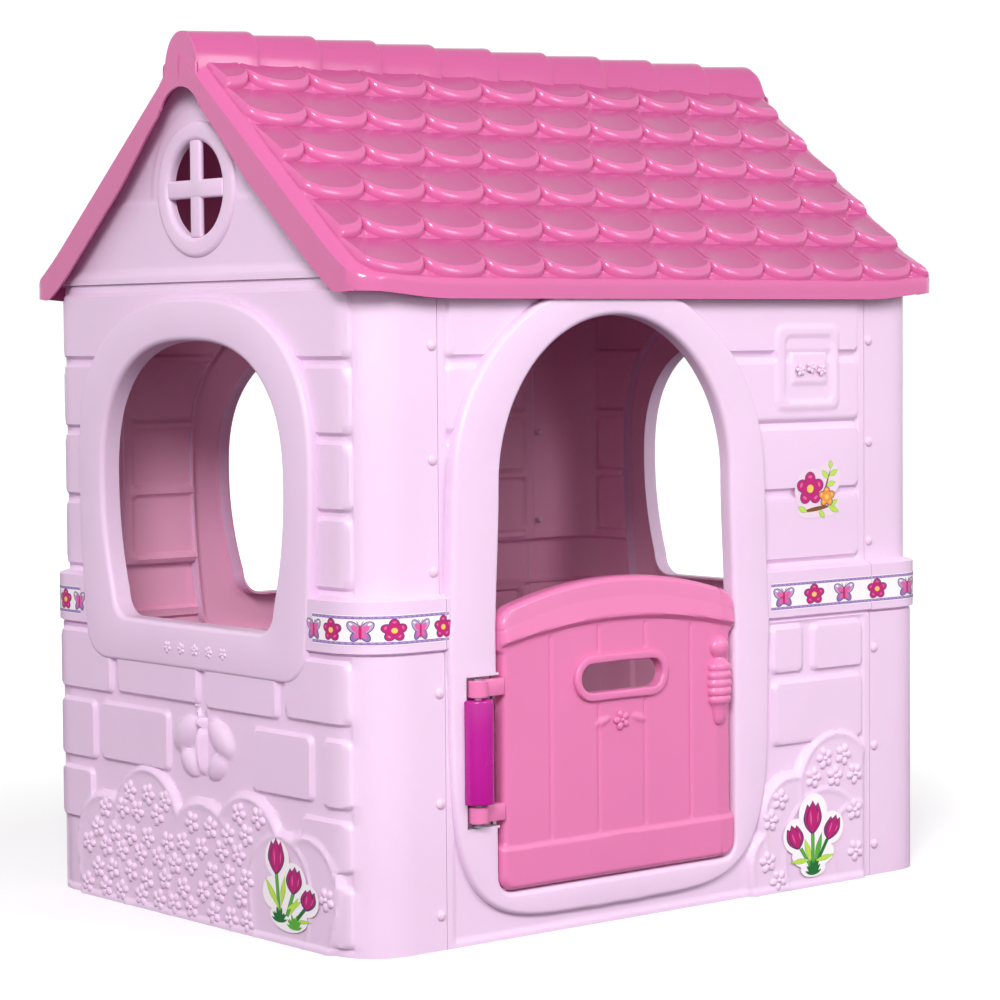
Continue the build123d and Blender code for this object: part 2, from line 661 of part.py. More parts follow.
HANDLE_X = DOOR_X + DOOR_HALF - 33
with BuildPart() as door_panel:
    with BuildSketch(front_plane(face_y)) as door_face:
        panel_sketch()
        low = door_face.vertices().sort_by(Axis.Y)[:2]
        fillet(low, 24)
    extrude(amount=PANEL_DEEP)
    with BuildSketch(front_plane(face_y - SKIN)):
        with BuildSketch(mode=Mode.PRIVATE) as panel_in:
            panel_sketch()
            offset(amount=-SKIN)
        add(panel_in.sketch)
    extrude(amount=PANEL_DEEP, mode=Mode.SUBTRACT)
    # raised cap along the top and raised rail along the bottom
    with BuildSketch(front_plane(face_y + PANEL_RAISE)):
        cap_sketch()
    extrude(amount=PANEL_RAISE + 1)
    keep(panel_left + 24, panel_right - 24, -face_y - PANEL_RAISE, -face_y + 1,
         panel_bottom + 3, RAIL_TOP, Mode.ADD)
    # plank grooves
    for k in range(4):
        x = panel_left + 90 + k * PLANK
        keep(x - 2.5, x + 2.5, -face_y - 1, -face_y + 2, RAIL_TOP, 404, Mode.SUBTRACT)
    # letter slot with a raised rim and a flange behind
    with BuildSketch(front_plane(face_y + 6)):
        with Locations((-DOOR_X, SLOT_Z)):
            SlotOverall(SLOT_LONG + 24, SLOT_HIGH + 24)
    extrude(amount=7)
    with BuildSketch(front_plane(face_y)):
        with Locations((-DOOR_X, SLOT_Z)):
            SlotOverall(SLOT_LONG + 8, SLOT_HIGH + 8)
    extrude(amount=PANEL_DEEP - 2)
    with BuildSketch(front_plane(face_y + 15)):
        with Locations((-DOOR_X, SLOT_Z)):
            SlotOverall(SLOT_LONG, SLOT_HIGH)
    extrude(amount=60, mode=Mode.SUBTRACT)
    # moulded handle: turned grip with a ball above
    with Locations((HANDLE_X, -face_y, 315)):
        Cylinder(14, 84)
    with Locations((HANDLE_X, -face_y, 372)):
        Sphere(16)
    with Locations((HANDLE_X, -face_y, 264)):
        Sphere(13)
    keep(HANDLE_X - 17, HANDLE_X + 17, -face_y + SKIN, -face_y + 17, 250, 389, Mode.SUBTRACT)
    # hinge lugs above and below the barrel
    for z0 in (BARREL_HIGH + SLIDE + 2.5, BARREL_LOW - SLIDE - 2.5 - LUG_HIGH):
        with BuildSketch(Plane.XY.offset(z0)):
            with Locations((HINGE_X, hinge_y)):
                Circle(LUG_R)
            with Locations(((HINGE_X + panel_left + 4) / 2, hinge_y + 5)):
                Rectangle(panel_left + 4 - HINGE_X, 14)
        extrude(amount=LUG_HIGH)
        with Locations((HINGE_X, hinge_y, z0 + LUG_HIGH / 2)):
            Cylinder(PIN_R + RUN, LUG_HIGH + 2, mode=Mode.SUBTRACT)
door_panel.part.label = "door_panel"


# ---- stickers -------------------------------------------------------------------------------------
STRIP_LOW = 412.0
STRIP_HIGH = 452.0
SURROUND_LEFT = DOOR_X - DOOR_HALF - DOOR_SURROUND - 6
SURROUND_RIGHT = DOOR_X + DOOR_HALF + DOOR_SURROUND


def strip(x0, x1, y0, y1):
    out = BAND_OUT + STICKER
    with BuildSketch(Plane.XY.offset(STRIP_LOW)) as ring:
        RectangleRounded(2 * (HALF_X + out), 2 * (HALF_Y + out), CORNER_R + out)
        RectangleRounded(2 * (HALF_X + BAND_OUT), 2 * (HALF_Y + BAND_OUT), CORNER_R + BAND_OUT,
                         mode=Mode.SUBTRACT)
    extrude(ring.sketch, amount=STRIP_HIGH - STRIP_LOW)
    keep(x0, x1, y0, y1, 0, FAR)


with BuildPart() as band_sticker_left:
    strip(-FAR, -SEAM_X - 1, -FAR, FAR)
    keep(-FAR, -SEAM_X - 90, -FRAME_HALF - 1, FRAME_HALF + 1, 0, FAR, Mode.SUBTRACT)
band_sticker_left.part.label = "band_sticker_left"

with BuildPart() as band_sticker_right:
    add(mirror(band_sticker_left.part, about=Plane.YZ))
band_sticker_right.part.label = "band_sticker_right"

with BuildPart() as band_sticker_front:
    strip(-SEAM_X + 1, SEAM_X - 1, -FAR, -HALF_Y / 2)
    keep(SURROUND_LEFT, SURROUND_RIGHT, -FAR, -HALF_Y / 2, 0, FAR, Mode.SUBTRACT)
band_sticker_front.part.label = "band_sticker_front"

with BuildPart() as band_sticker_back:
    strip(-SEAM_X + 1, SEAM_X - 1, HALF_Y / 2, FAR)
    keep(-FRAME_HALF - 1, FRAME_HALF + 1, HALF_Y / 2, FAR, 0, FAR, Mode.SUBTRACT)
band_sticker_back.part.label = "band_sticker_back"

with BuildPart() as tulip_sticker_side:
    keep(-HALF_X - LOW_OUT - STICKER, -HALF_X - LOW_OUT, -300, -164, 10, 144, Mode.ADD)
tulip_sticker_side.part.label = "tulip_sticker_side"

with BuildPart() as tulip_sticker_front:
    keep(212, 348, -HALF_Y - LOW_OUT - STICKER, -HALF_Y - LOW_OUT, 8, 146, Mode.ADD)
tulip_sticker_front.part.label = "tulip_sticker_front"

with BuildPart() as sprig_sticker:
    keep(252, 352, -HALF_Y - STICKER, -HALF_Y, 535, 628, Mode.ADD)
sprig_sticker.part.label = "sprig_sticker"

# ---- export -----------------------------------------------------------------------------------------
export_step(left_wall.part, "parts/left_wall.step")
export_step(right_wall.part, "parts/right_wall.step")
export_step(front_wall.part, "parts/front_wall.step")
export_step(back_wall.part, "parts/back_wall.step")
export_step(pegs_front_left.part, "parts/pegs_front_left.step")
export_step(pegs_front_right.part, "parts/pegs_front_right.step")
export_step(pegs_back_left.part, "parts/pegs_back_left.step")
export_step(pegs_back_right.part, "parts/pegs_back_right.step")
export_step(left_gable.part, "parts/left_gable.step")
export_step(right_gable.part, "parts/right_gable.step")
export_step(gable_pegs_left.part, "parts/gable_pegs_left.step")
export_step(gable_pegs_right.part, "parts/gable_pegs_right.step")
export_step(roof_front.part, "parts/roof_front.step")
export_step(roof_back.part, "parts/roof_back.step")
export_step(roof_pegs_left.part, "parts/roof_pegs_left.step")
export_step(roof_pegs_right.part, "parts/roof_pegs_right.step")
export_step(hinge_barrel.part, "parts/hinge_barrel.step")
export_step(hinge_pin.part, "parts/hinge_pin.step")
export_step(hinge_screws.part, "parts/hinge_screws.step")
export_step(door_panel.part, "parts/door_panel.step")
export_step(band_sticker_left.part, "parts/band_sticker_left.step")
export_step(band_sticker_right.part, "parts/band_sticker_right.step")
export_step(band_sticker_front.part, "parts/band_sticker_front.step")
export_step(band_sticker_back.part, "parts/band_sticker_back.step")
export_step(tulip_sticker_side.part, "parts/tulip_sticker_side.step")
export_step(tulip_sticker_front.part, "parts/tulip_sticker_front.step")
export_step(sprig_sticker.part, "parts/sprig_sticker.step")
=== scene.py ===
import math
import random

import bpy
import numpy as np
from mathutils import Matrix, Vector


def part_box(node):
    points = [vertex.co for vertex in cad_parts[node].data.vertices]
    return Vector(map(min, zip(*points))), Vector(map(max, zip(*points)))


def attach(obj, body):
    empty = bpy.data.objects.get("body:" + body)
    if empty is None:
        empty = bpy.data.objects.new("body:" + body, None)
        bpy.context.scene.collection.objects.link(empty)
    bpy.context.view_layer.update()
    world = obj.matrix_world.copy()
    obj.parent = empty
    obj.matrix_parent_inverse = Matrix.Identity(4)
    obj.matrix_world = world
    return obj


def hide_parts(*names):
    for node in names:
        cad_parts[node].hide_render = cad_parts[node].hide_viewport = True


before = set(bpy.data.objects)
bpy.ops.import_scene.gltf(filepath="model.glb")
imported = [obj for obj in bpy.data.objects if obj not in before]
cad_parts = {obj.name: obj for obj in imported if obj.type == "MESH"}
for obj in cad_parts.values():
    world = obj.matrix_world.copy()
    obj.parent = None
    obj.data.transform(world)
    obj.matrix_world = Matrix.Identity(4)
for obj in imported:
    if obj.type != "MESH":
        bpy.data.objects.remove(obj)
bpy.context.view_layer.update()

# ---------------------------------------------------------------- side walls
# One pink polyethylene moulding that wraps round both upright corners, with
# bricks, a flowering bush and a butterfly pressed into it and a raised hollow
# frame round the window.  Pegs hold it at the seams.
MM = 0.001
left_low, left_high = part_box("left_wall")
SEAM_X = -left_high.x / MM
WALL_TOP = left_high.z / MM
LOW_OUT, BAND_OUT = 10.5, 15.0
FACE_X = -left_low.x / MM
HALF_X = FACE_X - 17.0
HALF_Y = left_high.y / MM - BAND_OUT
CORNER = 60.0
BAND_LOW, BAND_HIGH = 398.0, 472.0
SKIN = 3.4
WALL_PINK = (0.83, 0.60, 0.81)


def clear_selection():
    bpy.ops.object.select_all(action="DESELECT")


def pick(obj):
    clear_selection()
    obj.select_set(True)
    bpy.context.view_layer.objects.active = obj


def grid_piece(name, cols, rows):
    # a flat sheet of squares, ready to be pressed into shape
    clear_selection()
    bpy.ops.mesh.primitive_grid_add(x_subdivisions=cols, y_subdivisions=rows, size=2.0)
    piece = bpy.context.object
    piece.name = name
    return piece


def sheet_places(piece):
    co = np.empty(len(piece.data.vertices) * 3)
    piece.data.vertices.foreach_get("co", co)
    co = co.reshape(-1, 3)
    return (co[:, 0] + 1) / 2, (co[:, 1] + 1) / 2


def by_lists(piece, across, along):
    # the two coordinates of every vertex, read from uneven lists
    a, b = sheet_places(piece)
    return (np.array(across)[np.rint(a * (len(across) - 1)).astype(int)],
            np.array(along)[np.rint(b * (len(along) - 1)).astype(int)])


def spread(zones, rises):
    # lines of a sheet: a step for each zone, and close lines just inside every edge that rises
    lines = []
    for start, stop, step in zones:
        lines += list(np.linspace(start, stop, int(round((stop - start) / step)), endpoint=False))
    close = sorted({edge + way * step for edge, way in rises for step in (0.0, 1.6, 3.3, 5.2)})
    kept = [v for v in lines[1:] if min(abs(v - c) for c in close) > 1.7]
    return sorted([lines[0], zones[-1][1]] + kept + close)


def press(piece, xyz):
    # moves every vertex; xyz in millimetres
    piece.data.vertices.foreach_set("co", (np.asarray(xyz) * MM).astype(float).ravel())
    piece.data.update()


def turn_faces(piece, towards):
    # makes an open sheet face one way, judged by its faces' mean dot with a field of directions
    score = 0.0
    for poly in piece.data.polygons:
        score += poly.area * poly.normal.dot(towards(poly.center))
    if score < 0:
        pick(piece)
        bpy.ops.object.mode_set(mode="EDIT")
        bpy.ops.mesh.select_all(action="SELECT")
        bpy.ops.mesh.flip_normals()
        bpy.ops.object.mode_set(mode="OBJECT")


def thicken(piece, thickness, offset=-1.0):
    pick(piece)
    mod = piece.modifiers.new("skin", "SOLIDIFY")
    mod.thickness = thickness * MM
    mod.offset = offset
    mod.use_even_offset = False
    bpy.ops.object.modifier_apply(modifier=mod.name)


def smooth(piece, angle=38.0):
    pick(piece)
    bpy.ops.object.shade_smooth_by_angle(angle=math.radians(angle))


def weld(piece, gap=0.05):
    pick(piece)
    bpy.ops.object.mode_set(mode="EDIT")
    bpy.ops.mesh.select_all(action="SELECT")
    bpy.ops.mesh.remove_doubles(threshold=gap * MM)
    bpy.ops.object.mode_set(mode="OBJECT")


def join(name, pieces):
    clear_selection()
    for p in pieces:
        p.select_set(True)
    bpy.context.view_layer.objects.active = pieces[0]
    bpy.ops.object.join()
    whole = bpy.context.object
    whole.name = name
    return whole


def bevel(piece, width, segments=3, angle=30.0):
    pick(piece)
    mod = piece.modifiers.new("edge", "BEVEL")
    mod.width = width * MM
    mod.segments = segments
    mod.limit_method = "ANGLE"
    mod.angle_limit = math.radians(angle)
    bpy.ops.object.modifier_apply(modifier=mod.name)


def cut(piece, cutter):
    pick(piece)
    mod = piece.modifiers.new("cut", "BOOLEAN")
    mod.object = cutter
    mod.solver = "EXACT"
    bpy.ops.object.modifier_apply(modifier=mod.name)
    bpy.data.objects.remove(cutter, do_unlink=True)


def block(name, x0, x1, y0, y1, z0, z1):
    clear_selection()
    centre = Vector(((x0 + x1) / 2, (y0 + y1) / 2, (z0 + z1) / 2)) * MM
    bpy.ops.mesh.primitive_cube_add(size=1.0, location=centre)
    piece = bpy.context.object
    piece.name = name
    piece.scale = Vector((x1 - x0, y1 - y0, z1 - z0)) * MM
    bpy.ops.object.transform_apply(location=True, rotation=True, scale=True)
    return piece


def plastic(name, colour, rough, grain=0.03, shift=0.045, scuff=0.10, coat=0.0, soft=0.0):
    # moulded plastic: faint cloudiness, fine orange-peel, dull rubbed patches
    mat = bpy.data.materials.new(name)
    mat.use_nodes = True
    tree = mat.node_tree
    shader = tree.nodes["Principled BSDF"]
    place = tree.nodes.new("ShaderNodeTexCoord")
    cloud = tree.nodes.new("ShaderNodeTexNoise")
    cloud.inputs["Scale"].default_value = 3.1
    cloud.inputs["Detail"].default_value = 4.0
    tint = tree.nodes.new("ShaderNodeValToRGB")
    tint.color_ramp.elements[0].position = 0.3
    tint.color_ramp.elements[1].position = 0.72
    dark = [c * (1 - shift) for c in colour]
    pale = [min(1.0, c * (1 + shift * 0.6)) for c in colour]
    tint.color_ramp.elements[0].color = (*dark, 1)
    tint.color_ramp.elements[1].color = (*pale, 1)
    rub = tree.nodes.new("ShaderNodeTexNoise")
    rub.inputs["Scale"].default_value = 17.0
    rub.inputs["Detail"].default_value = 6.0
    dull = tree.nodes.new("ShaderNodeMapRange")
    dull.inputs["From Min"].default_value = 0.35
    dull.inputs["From Max"].default_value = 0.75
    dull.inputs["To Min"].default_value = rough
    dull.inputs["To Max"].default_value = rough + scuff
    peel = tree.nodes.new("ShaderNodeTexNoise")
    peel.inputs["Scale"].default_value = 260.0
    peel.inputs["Detail"].default_value = 2.0
    bump = tree.nodes.new("ShaderNodeBump")
    bump.inputs["Strength"].default_value = grain
    bump.inputs["Distance"].default_value = 0.002
    for node in (cloud, rub, peel):
        tree.links.new(place.outputs["Object"], node.inputs["Vector"])
    tree.links.new(cloud.outputs["Fac"], tint.inputs["Fac"])
    tree.links.new(tint.outputs["Color"], shader.inputs["Base Color"])
    tree.links.new(rub.outputs["Fac"], dull.inputs["Value"])
    tree.links.new(dull.outputs["Result"], shader.inputs["Roughness"])
    tree.links.new(peel.outputs["Fac"], bump.inputs["Height"])
    tree.links.new(bump.outputs["Normal"], shader.inputs["Normal"])
    shader.inputs["IOR"].default_value = 1.5
    shader.inputs["Coat Weight"].default_value = coat
    shader.inputs["Coat Roughness"].default_value = 0.12
    shader.inputs["Subsurface Weight"].default_value = soft
    shader.inputs["Subsurface Radius"].default_value = (0.012, 0.006, 0.009)
    shader.inputs["Subsurface Scale"].default_value = 1.0
    return mat


def dress(piece, mat):
    piece.data.materials.clear()
    piece.data.materials.append(mat)


def settle(piece, mat, body, slot, *stands_for):
    # finish, place in the frame and stand-in of one piece
    dress(piece, mat)
    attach(piece, body)
    if stands_for:
        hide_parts(*stands_for)


def ease(t):
    t = np.clip(t, 0, 1)
    return t * t * (3 - 2 * t)


def level_foot(piece):
    # nothing stands below the floor
    co = np.empty(len(piece.data.vertices) * 3)
    piece.data.vertices.foreach_get("co", co)
    co = co.reshape(-1, 3) / MM
    co[:, 2] = np.maximum(co[:, 2], 0)
    press(piece, co)


def wall_level(z):
    # lower wall and band stand out from the upper wall by soft steps
    out = LOW_OUT * ease((BAND_LOW + 2 - z) / 4)
    up = ease((z - BAND_LOW + 2) / 5) * ease((BAND_HIGH + 2 - z) / 5)
    return np.maximum(out, BAND_OUT * up)


def pad(u, z, u0, u1, z0, z1, high=6.6, corner=11.0, soft=4.8):
    # a raised brick with rounded corners and rolled edges
    du = np.abs(u - (u0 + u1) / 2) - (abs(u1 - u0) / 2 - corner)
    dz = np.abs(z - (z0 + z1) / 2) - ((z1 - z0) / 2 - corner)
    away = np.hypot(np.maximum(du, 0), np.maximum(dz, 0)) + np.minimum(np.maximum(du, dz), 0)
    inside = corner - away
    return high * ease(inside / soft)


LOBE_FLARE = 0.55


def clumps(u, z, lobes, high=8.0, edge=10.0):
    # a bush of round-headed clumps that reach the foot, each in front of the last, with rolled rims
    out = np.zeros_like(u)
    for cu, cz, r in lobes:
        d = r - np.hypot(u - cu, np.where(z < cz, LOBE_FLARE, 1.0) * (z - cz))
        rise = np.sqrt(np.clip(1 - np.clip(1 - d / edge, 0, 1) ** 2, 0, 1))
        swell = high * rise + 2.0 * np.exp(-((d - 8) / 4.4) ** 2)
        out = np.where(d > edge, swell, np.where(d > 0, np.maximum(out, swell), out))
    return out


def petal_bump(u, z, cu, cz, ru, rz, turn, high):
    # smooth elliptical swelling, turned in the plane of the wall
    a = math.radians(turn)
    p = (u - cu) * math.cos(a) + (z - cz) * math.sin(a)
    q = -(u - cu) * math.sin(a) + (z - cz) * math.cos(a)
    k = 1 - (p / ru) ** 2 - (q / rz) ** 2
    return high * np.sqrt(np.clip(k, 0, 1))


def arch(half, waist, top, bottom, corner, draw, power, centre=0.0):
    # closed outline: superellipse above the waist, sides drawn in below, round lower corners
    t = np.linspace(0, math.pi / 2, 90)
    up_w = half * np.cos(t) ** (2 / power)
    up_z = waist + (top - waist) * np.sin(t) ** (2 / power)
    low_z = np.linspace(bottom + corner, waist, 60)[:-1]
    low_w = half - draw * ((waist - low_z) / (waist - bottom)) ** 2
    a = np.linspace(-math.pi / 2, 0, 24)[:-1]
    arc_w = low_w[0] - corner + corner * np.cos(a)
    arc_z = bottom + corner + corner * np.sin(a)
    w = np.concatenate([np.linspace(0, arc_w[0], 20)[:-1], arc_w, low_w, up_w])
    z = np.concatenate([np.full(19, bottom), arc_z, low_z, up_z])
    u = np.concatenate([w, -w[::-1]]) + centre
    return np.stack([u, np.concatenate([z, z[::-1]])], 1)


def ray_lengths(outline, centre, angles):
    # distance from the centre to a star-shaped outline in each direction
    d = outline - np.array(centre)
    a = np.arctan2(d[:, 1], d[:, 0])
    r = np.hypot(d[:, 0], d[:, 1])
    order = np.argsort(a)
    a, r = a[order], r[order]
    a = np.concatenate([a - 2 * math.pi, a, a + 2 * math.pi])
    r = np.concatenate([r, r, r])
    return np.interp(angles, a, r)


def open_hole(piece, u, z, outline, centre, place):
    # removes the squares inside the outline and draws the ragged edge onto it
    ang = np.arctan2(z - centre[1], z * 0 + u - centre[0])
    reach = np.hypot(u - centre[0], z - centre[1])
    gone = reach < ray_lengths(outline, centre, ang)
    me = piece.data
    corners = [tuple(p.vertices) for p in me.polygons]
    flags = [sum(bool(gone[v]) for v in c) >= 2 for c in corners]
    pick(piece)
    bpy.ops.object.mode_set(mode="EDIT")
    bpy.ops.mesh.select_mode(type="FACE")
    bpy.ops.mesh.select_all(action="DESELECT")
    bpy.ops.object.mode_set(mode="OBJECT")
    me = piece.data
    me.polygons.foreach_set("select", flags)
    mark = me.attributes.new("uz", "FLOAT_VECTOR", "POINT")
    mark.data.foreach_set("vector", np.stack([u, z, u * 0], 1).ravel())
    edge = np.zeros(len(u), bool)
    for c, gone_face in zip(corners, flags):
        if gone_face:
            edge[list(c)] = True
    tag = me.attributes.new("edge", "FLOAT", "POINT")
    tag.data.foreach_set("value", edge.astype(float))
    bpy.ops.object.mode_set(mode="EDIT")
    bpy.ops.mesh.delete(type="FACE")
    bpy.ops.object.mode_set(mode="OBJECT")
    me = piece.data
    n = len(me.vertices)
    uz = np.empty(n * 3)
    me.attributes["uz"].data.foreach_get("vector", uz)
    uz = uz.reshape(-1, 3)
    on = np.empty(n)
    me.attributes["edge"].data.foreach_get("value", on)
    on = on > 0.5
    nu, nz = uz[:, 0].copy(), uz[:, 1].copy()
    dense = np.concatenate([outline, outline[:1]])
    seg = np.linspace(0, len(outline), len(outline) * 6)
    du = np.interp(seg, np.arange(len(dense)), dense[:, 0])
    dz = np.interp(seg, np.arange(len(dense)), dense[:, 1])
    for i in np.nonzero(on)[0]:
        k = np.argmin((du - nu[i]) ** 2 + (dz - nz[i]) ** 2)
        nu[i], nz[i] = du[k], dz[k]
    me.attributes.remove(me.attributes["uz"])
    me.attributes.remove(me.attributes["edge"])
    press(piece, place(nu, nz))
    return nu, nz


def frame_ring(name, outer, inner, centre, face, foot, reveal, place, around=260, roll=7.0):
    # hollow frame: skirt, rolled outer edge, flat face, rolled inner edge, deep flange
    steps = [(0.0, foot), (0.0, face - roll)]
    for turn in np.linspace(0.3, 1.571, 5):
        steps.append((roll * (1 - math.cos(turn)), face - roll * (1 - math.sin(turn))))
    steps += [("mid", face)]
    lip = roll * 8 / 7
    steps += [(lip * (math.sin(a) - 1), face - lip * (1 - math.cos(a))) for a in np.linspace(0, 1.571, 6)]
    steps += [(-0.0, face - reveal)]
    ring = grid_piece(name, around, len(steps) - 1)
    a, b = sheet_places(ring)
    angle = a * 2 * math.pi - math.pi
    ro = ray_lengths(outer, centre, angle)
    ri = ray_lengths(inner, centre, angle)
    width = ro - ri
    row = np.rint(b * (len(steps) - 1)).astype(int)
    r = np.empty_like(ro)
    out = np.empty_like(ro)
    for k, (w, h) in enumerate(steps):
        sel = row == k
        if w == "mid":
            r[sel] = (ro[sel] + ri[sel]) / 2
        elif k >= len(steps) - 7:
            r[sel] = ri[sel] - w
        else:
            r[sel] = ro[sel] - w
        out[sel] = h
    u = centre[0] + r * np.cos(angle)
    z = centre[1] + r * np.sin(angle)
    press(ring, place(u, z, out))
    weld(ring)
    return ring


# five-petal flower pressed proud of the wall; the centre stands on the origin, facing +Z
def flower_master(size):
    clear_selection()
    parts = []
    for k in range(5):
        a = 2 * math.pi * k / 5 + math.pi / 2
        where = Vector((math.cos(a), math.sin(a), 0)) * size * 0.56 * MM
        bpy.ops.mesh.primitive_uv_sphere_add(segments=12, ring_count=6, radius=1.0, location=where)
        petal = bpy.context.object
        petal.scale = Vector((size * 0.44, size * 0.35, size * 0.24)) * MM
        petal.rotation_euler = (0, 0, a)
        parts.append(petal)
    bpy.ops.mesh.primitive_uv_sphere_add(segments=12, ring_count=8, radius=1.0)
    eye = bpy.context.object
    eye.scale = Vector((size * 0.24, size * 0.24, size * 0.34)) * MM
    parts.append(eye)
    whole = join("flower_master", parts)
    bpy.ops.object.transform_apply(location=True, rotation=True, scale=True)
    return whole


def stamp(master, name, turn, origin, across, up, outward):
    # a copy of the master stood on a wall: its x, y and z go to across, up and outward
    copy = master.copy()
    copy.data = master.data.copy()
    copy.name = name
    bpy.context.collection.objects.link(copy)
    co = np.empty(len(copy.data.vertices) * 3)
    copy.data.vertices.foreach_get("co", co)
    co = co.reshape(-1, 3) / MM
    c, s = math.cos(turn), math.sin(turn)
    x = co[:, 0] * c - co[:, 1] * s
    y = co[:, 0] * s + co[:, 1] * c
    basis = np.array([across, up, outward], float)
    press(copy, np.array(origin) + np.stack([x, y, co[:, 2]], 1) @ basis)
    return copy


def side_place(u, z, out):
    # u runs along the wall from the front seam round to the back seam, 0 in the middle
    flat = HALF_Y - CORNER
    arc = CORNER * math.pi / 2
    a = np.abs(u)
    sign = np.where(u < 0, -1.0, 1.0)
    turn = np.clip((a - flat) / arc, 0, 1) * math.pi / 2
    x = -(HALF_X - CORNER) - CORNER * np.cos(turn)
    y = flat + CORNER * np.sin(turn)
    x = np.where(a < flat, -HALF_X, x)
    y = np.where(a < flat, a, y)
    past = np.maximum(a - flat - arc, 0)
    x = x + past
    nx = -np.cos(turn)
    ny = np.sin(turn)
    return np.stack([x + nx * out, (y + ny * out) * sign, z + 0 * u], 1)


FIELD = 352.0
SIDE_LOBES = ((228, 78, 80), (118, 118, 90), (-130, 112, 84), (-20, 78, 96), (-268, 84, 72),
              (-206, 74, 78))
SIDE_BRICKS = (
    (352, 208, 300, 391), (196, -14, 303, 391), (-28, -202, 300, 391), (-216, -352, 303, 391),
    (352, 253, 199, 288), (240, 61, 202, 290), (-138, -279, 197, 288), (-300, -352, 193, 288),
    (352, 262, 108, 187), (-250, -352, 108, 181), (-312, -352, 8, 95),
)
UPPER_ROWS = ((481, 578), (584, 678), (684, 778), (784, 880))


def field_edge(u, z, half):
    # the brickwork lies a little lower than the corner columns
    return -2.6 * ease((half - np.abs(u)) / 5) * ease((z - 6) / 4)


def side_relief(u, z):
    out = wall_level(z) + field_edge(u, z, FIELD)
    band = (z > BAND_LOW - 4) & (z < BAND_HIGH + 4)
    out = np.where(band, wall_level(z), out)
    bricks = np.zeros_like(u)
    for u0, u1, z0, z1 in SIDE_BRICKS:
        bricks = np.maximum(bricks, pad(u, z, u0, u1, z0, z1))
    for z0, z1 in UPPER_ROWS:
        bricks = np.maximum(bricks, pad(u, z, -FIELD + 1, FIELD - 1, z0, z1))
    bush = clumps(u, z, SIDE_LOBES) * ease((352 - np.abs(u)) / 10)
    fly = np.zeros_like(u)
    for cu, cz, ru, rz, turn, high in (
        (24, 262, 34, 21, -38, 10), (-62, 262, 34, 21, 38, 10), (14, 222, 25, 17, 40, 9),
        (-52, 222, 25, 17, -40, 9), (-19, 242, 8, 36, 0, 14), (-19, 281, 9, 9, 0, 14),
    ):
        fly = np.maximum(fly, petal_bump(u, z, cu, cz, ru, rz, turn, high))
    for side in (-1, 1):
        fly = np.maximum(fly, petal_bump(u, z, -19 + side * 11, 296, 2.6, 13, -side * 32, 5))
    return out + np.maximum(np.maximum(bricks, fly), bush)


WINDOW = arch(221, 610, 810, 416, 34, 37, 2.5)
WINDOW_FRAME = arch(285, 632, 870, 352, 50, 21, 2.5)
WINDOW_MID = (0.0, 612.0)


def fold_top(z):
    # above the wall's top edge the sheet carries on level and inward, as the shelf
    return np.minimum(z, WALL_TOP), np.maximum(z - WALL_TOP, 0)


def side_wall_shell(name):
    run = 2 * (HALF_Y - CORNER) + CORNER * math.pi + 2 * (HALF_X - CORNER - SEAM_X)
    sides = sorted({(max(b[:2]), -1) for b in SIDE_BRICKS} | {(min(b[:2]), 1) for b in SIDE_BRICKS})
    ledges = sorted({(b[2], 1) for b in SIDE_BRICKS} | {(b[3], -1) for b in SIDE_BRICKS})
    ledges += [(low, 1) for low, high in UPPER_ROWS] + [(high, -1) for low, high in UPPER_ROWS]
    ledges += [(BAND_LOW - 2, 1), (BAND_HIGH + 2, -1)]
    cols = spread(((-run / 2, -350, 14.0), (-350, 350, 4.9), (350, run / 2, 14.0)), sides)
    rows = spread(((0.0, 215.0, 3.7), (215.0, 305.0, 5.2), (305.0, WALL_TOP + 26, 12.0)), ledges)
    sheet = grid_piece(name, len(cols) - 1, len(rows) - 1)
    u, z = by_lists(sheet, cols, rows)

    def place(uu, zz):
        flat_z, inward = fold_top(zz)
        return side_place(uu, flat_z, side_relief(uu, flat_z) - inward)

    inset = WINDOW_FRAME.copy()
    inset = (inset - WINDOW_MID) * 0.992 + WINDOW_MID
    open_hole(sheet, u, z, inset, WINDOW_MID, place)
    turn_faces(sheet, lambda c: Vector((c.x, c.y, 0)))
    thicken(sheet, SKIN)
    ring = frame_ring(
        name + "_frame", WINDOW_FRAME, WINDOW, WINDOW_MID, FACE_X - HALF_X, -4.0, 30.0,
        lambda uu, zz, out: side_place(uu, zz, out),
    )
    turn_faces(ring, lambda c: Vector((-1, 0, 0)))
    thicken(ring, SKIN)
    return [sheet, ring]


def in_clump(u, z, clump):
    # a flower's middle keeps clear of the clump's rolled rim
    cu, cz, r = clump
    return math.hypot(u - cu, (z - cz) * (LOBE_FLARE if z < cz else 1)) < r - 18


def scatter_flowers(lobes, avoid, seed, step=45.0):
    # staggered rows of flowers kept inside the clumps and off the sticker
    rng = random.Random(seed)
    spots = []
    for row in range(9):
        for col in range(24):
            cu = -360 + col * step + (row % 2) * step / 2 + rng.uniform(-5, 5)
            cz = max(17 + row * step * 0.66 + rng.uniform(-4, 4), 18.5)
            on_sticker = avoid[0] < cu < avoid[1] and avoid[2] < cz < avoid[3]
            if not on_sticker and any(in_clump(cu, cz, clump) for clump in lobes):
                spots.append((cu, cz, rng.uniform(0, 1.2)))
    return spots


wall_pink = plastic("wall_pink", WALL_PINK, 0.36, soft=0.12)
# painted light: the deeper pink of the cabin side stands in for pink light bounced round inside the house
inside_painted_bounce = plastic("inside_painted_bounce", (0.86, 0.40, 0.60), 0.42, grain=0.02, scuff=0.14)


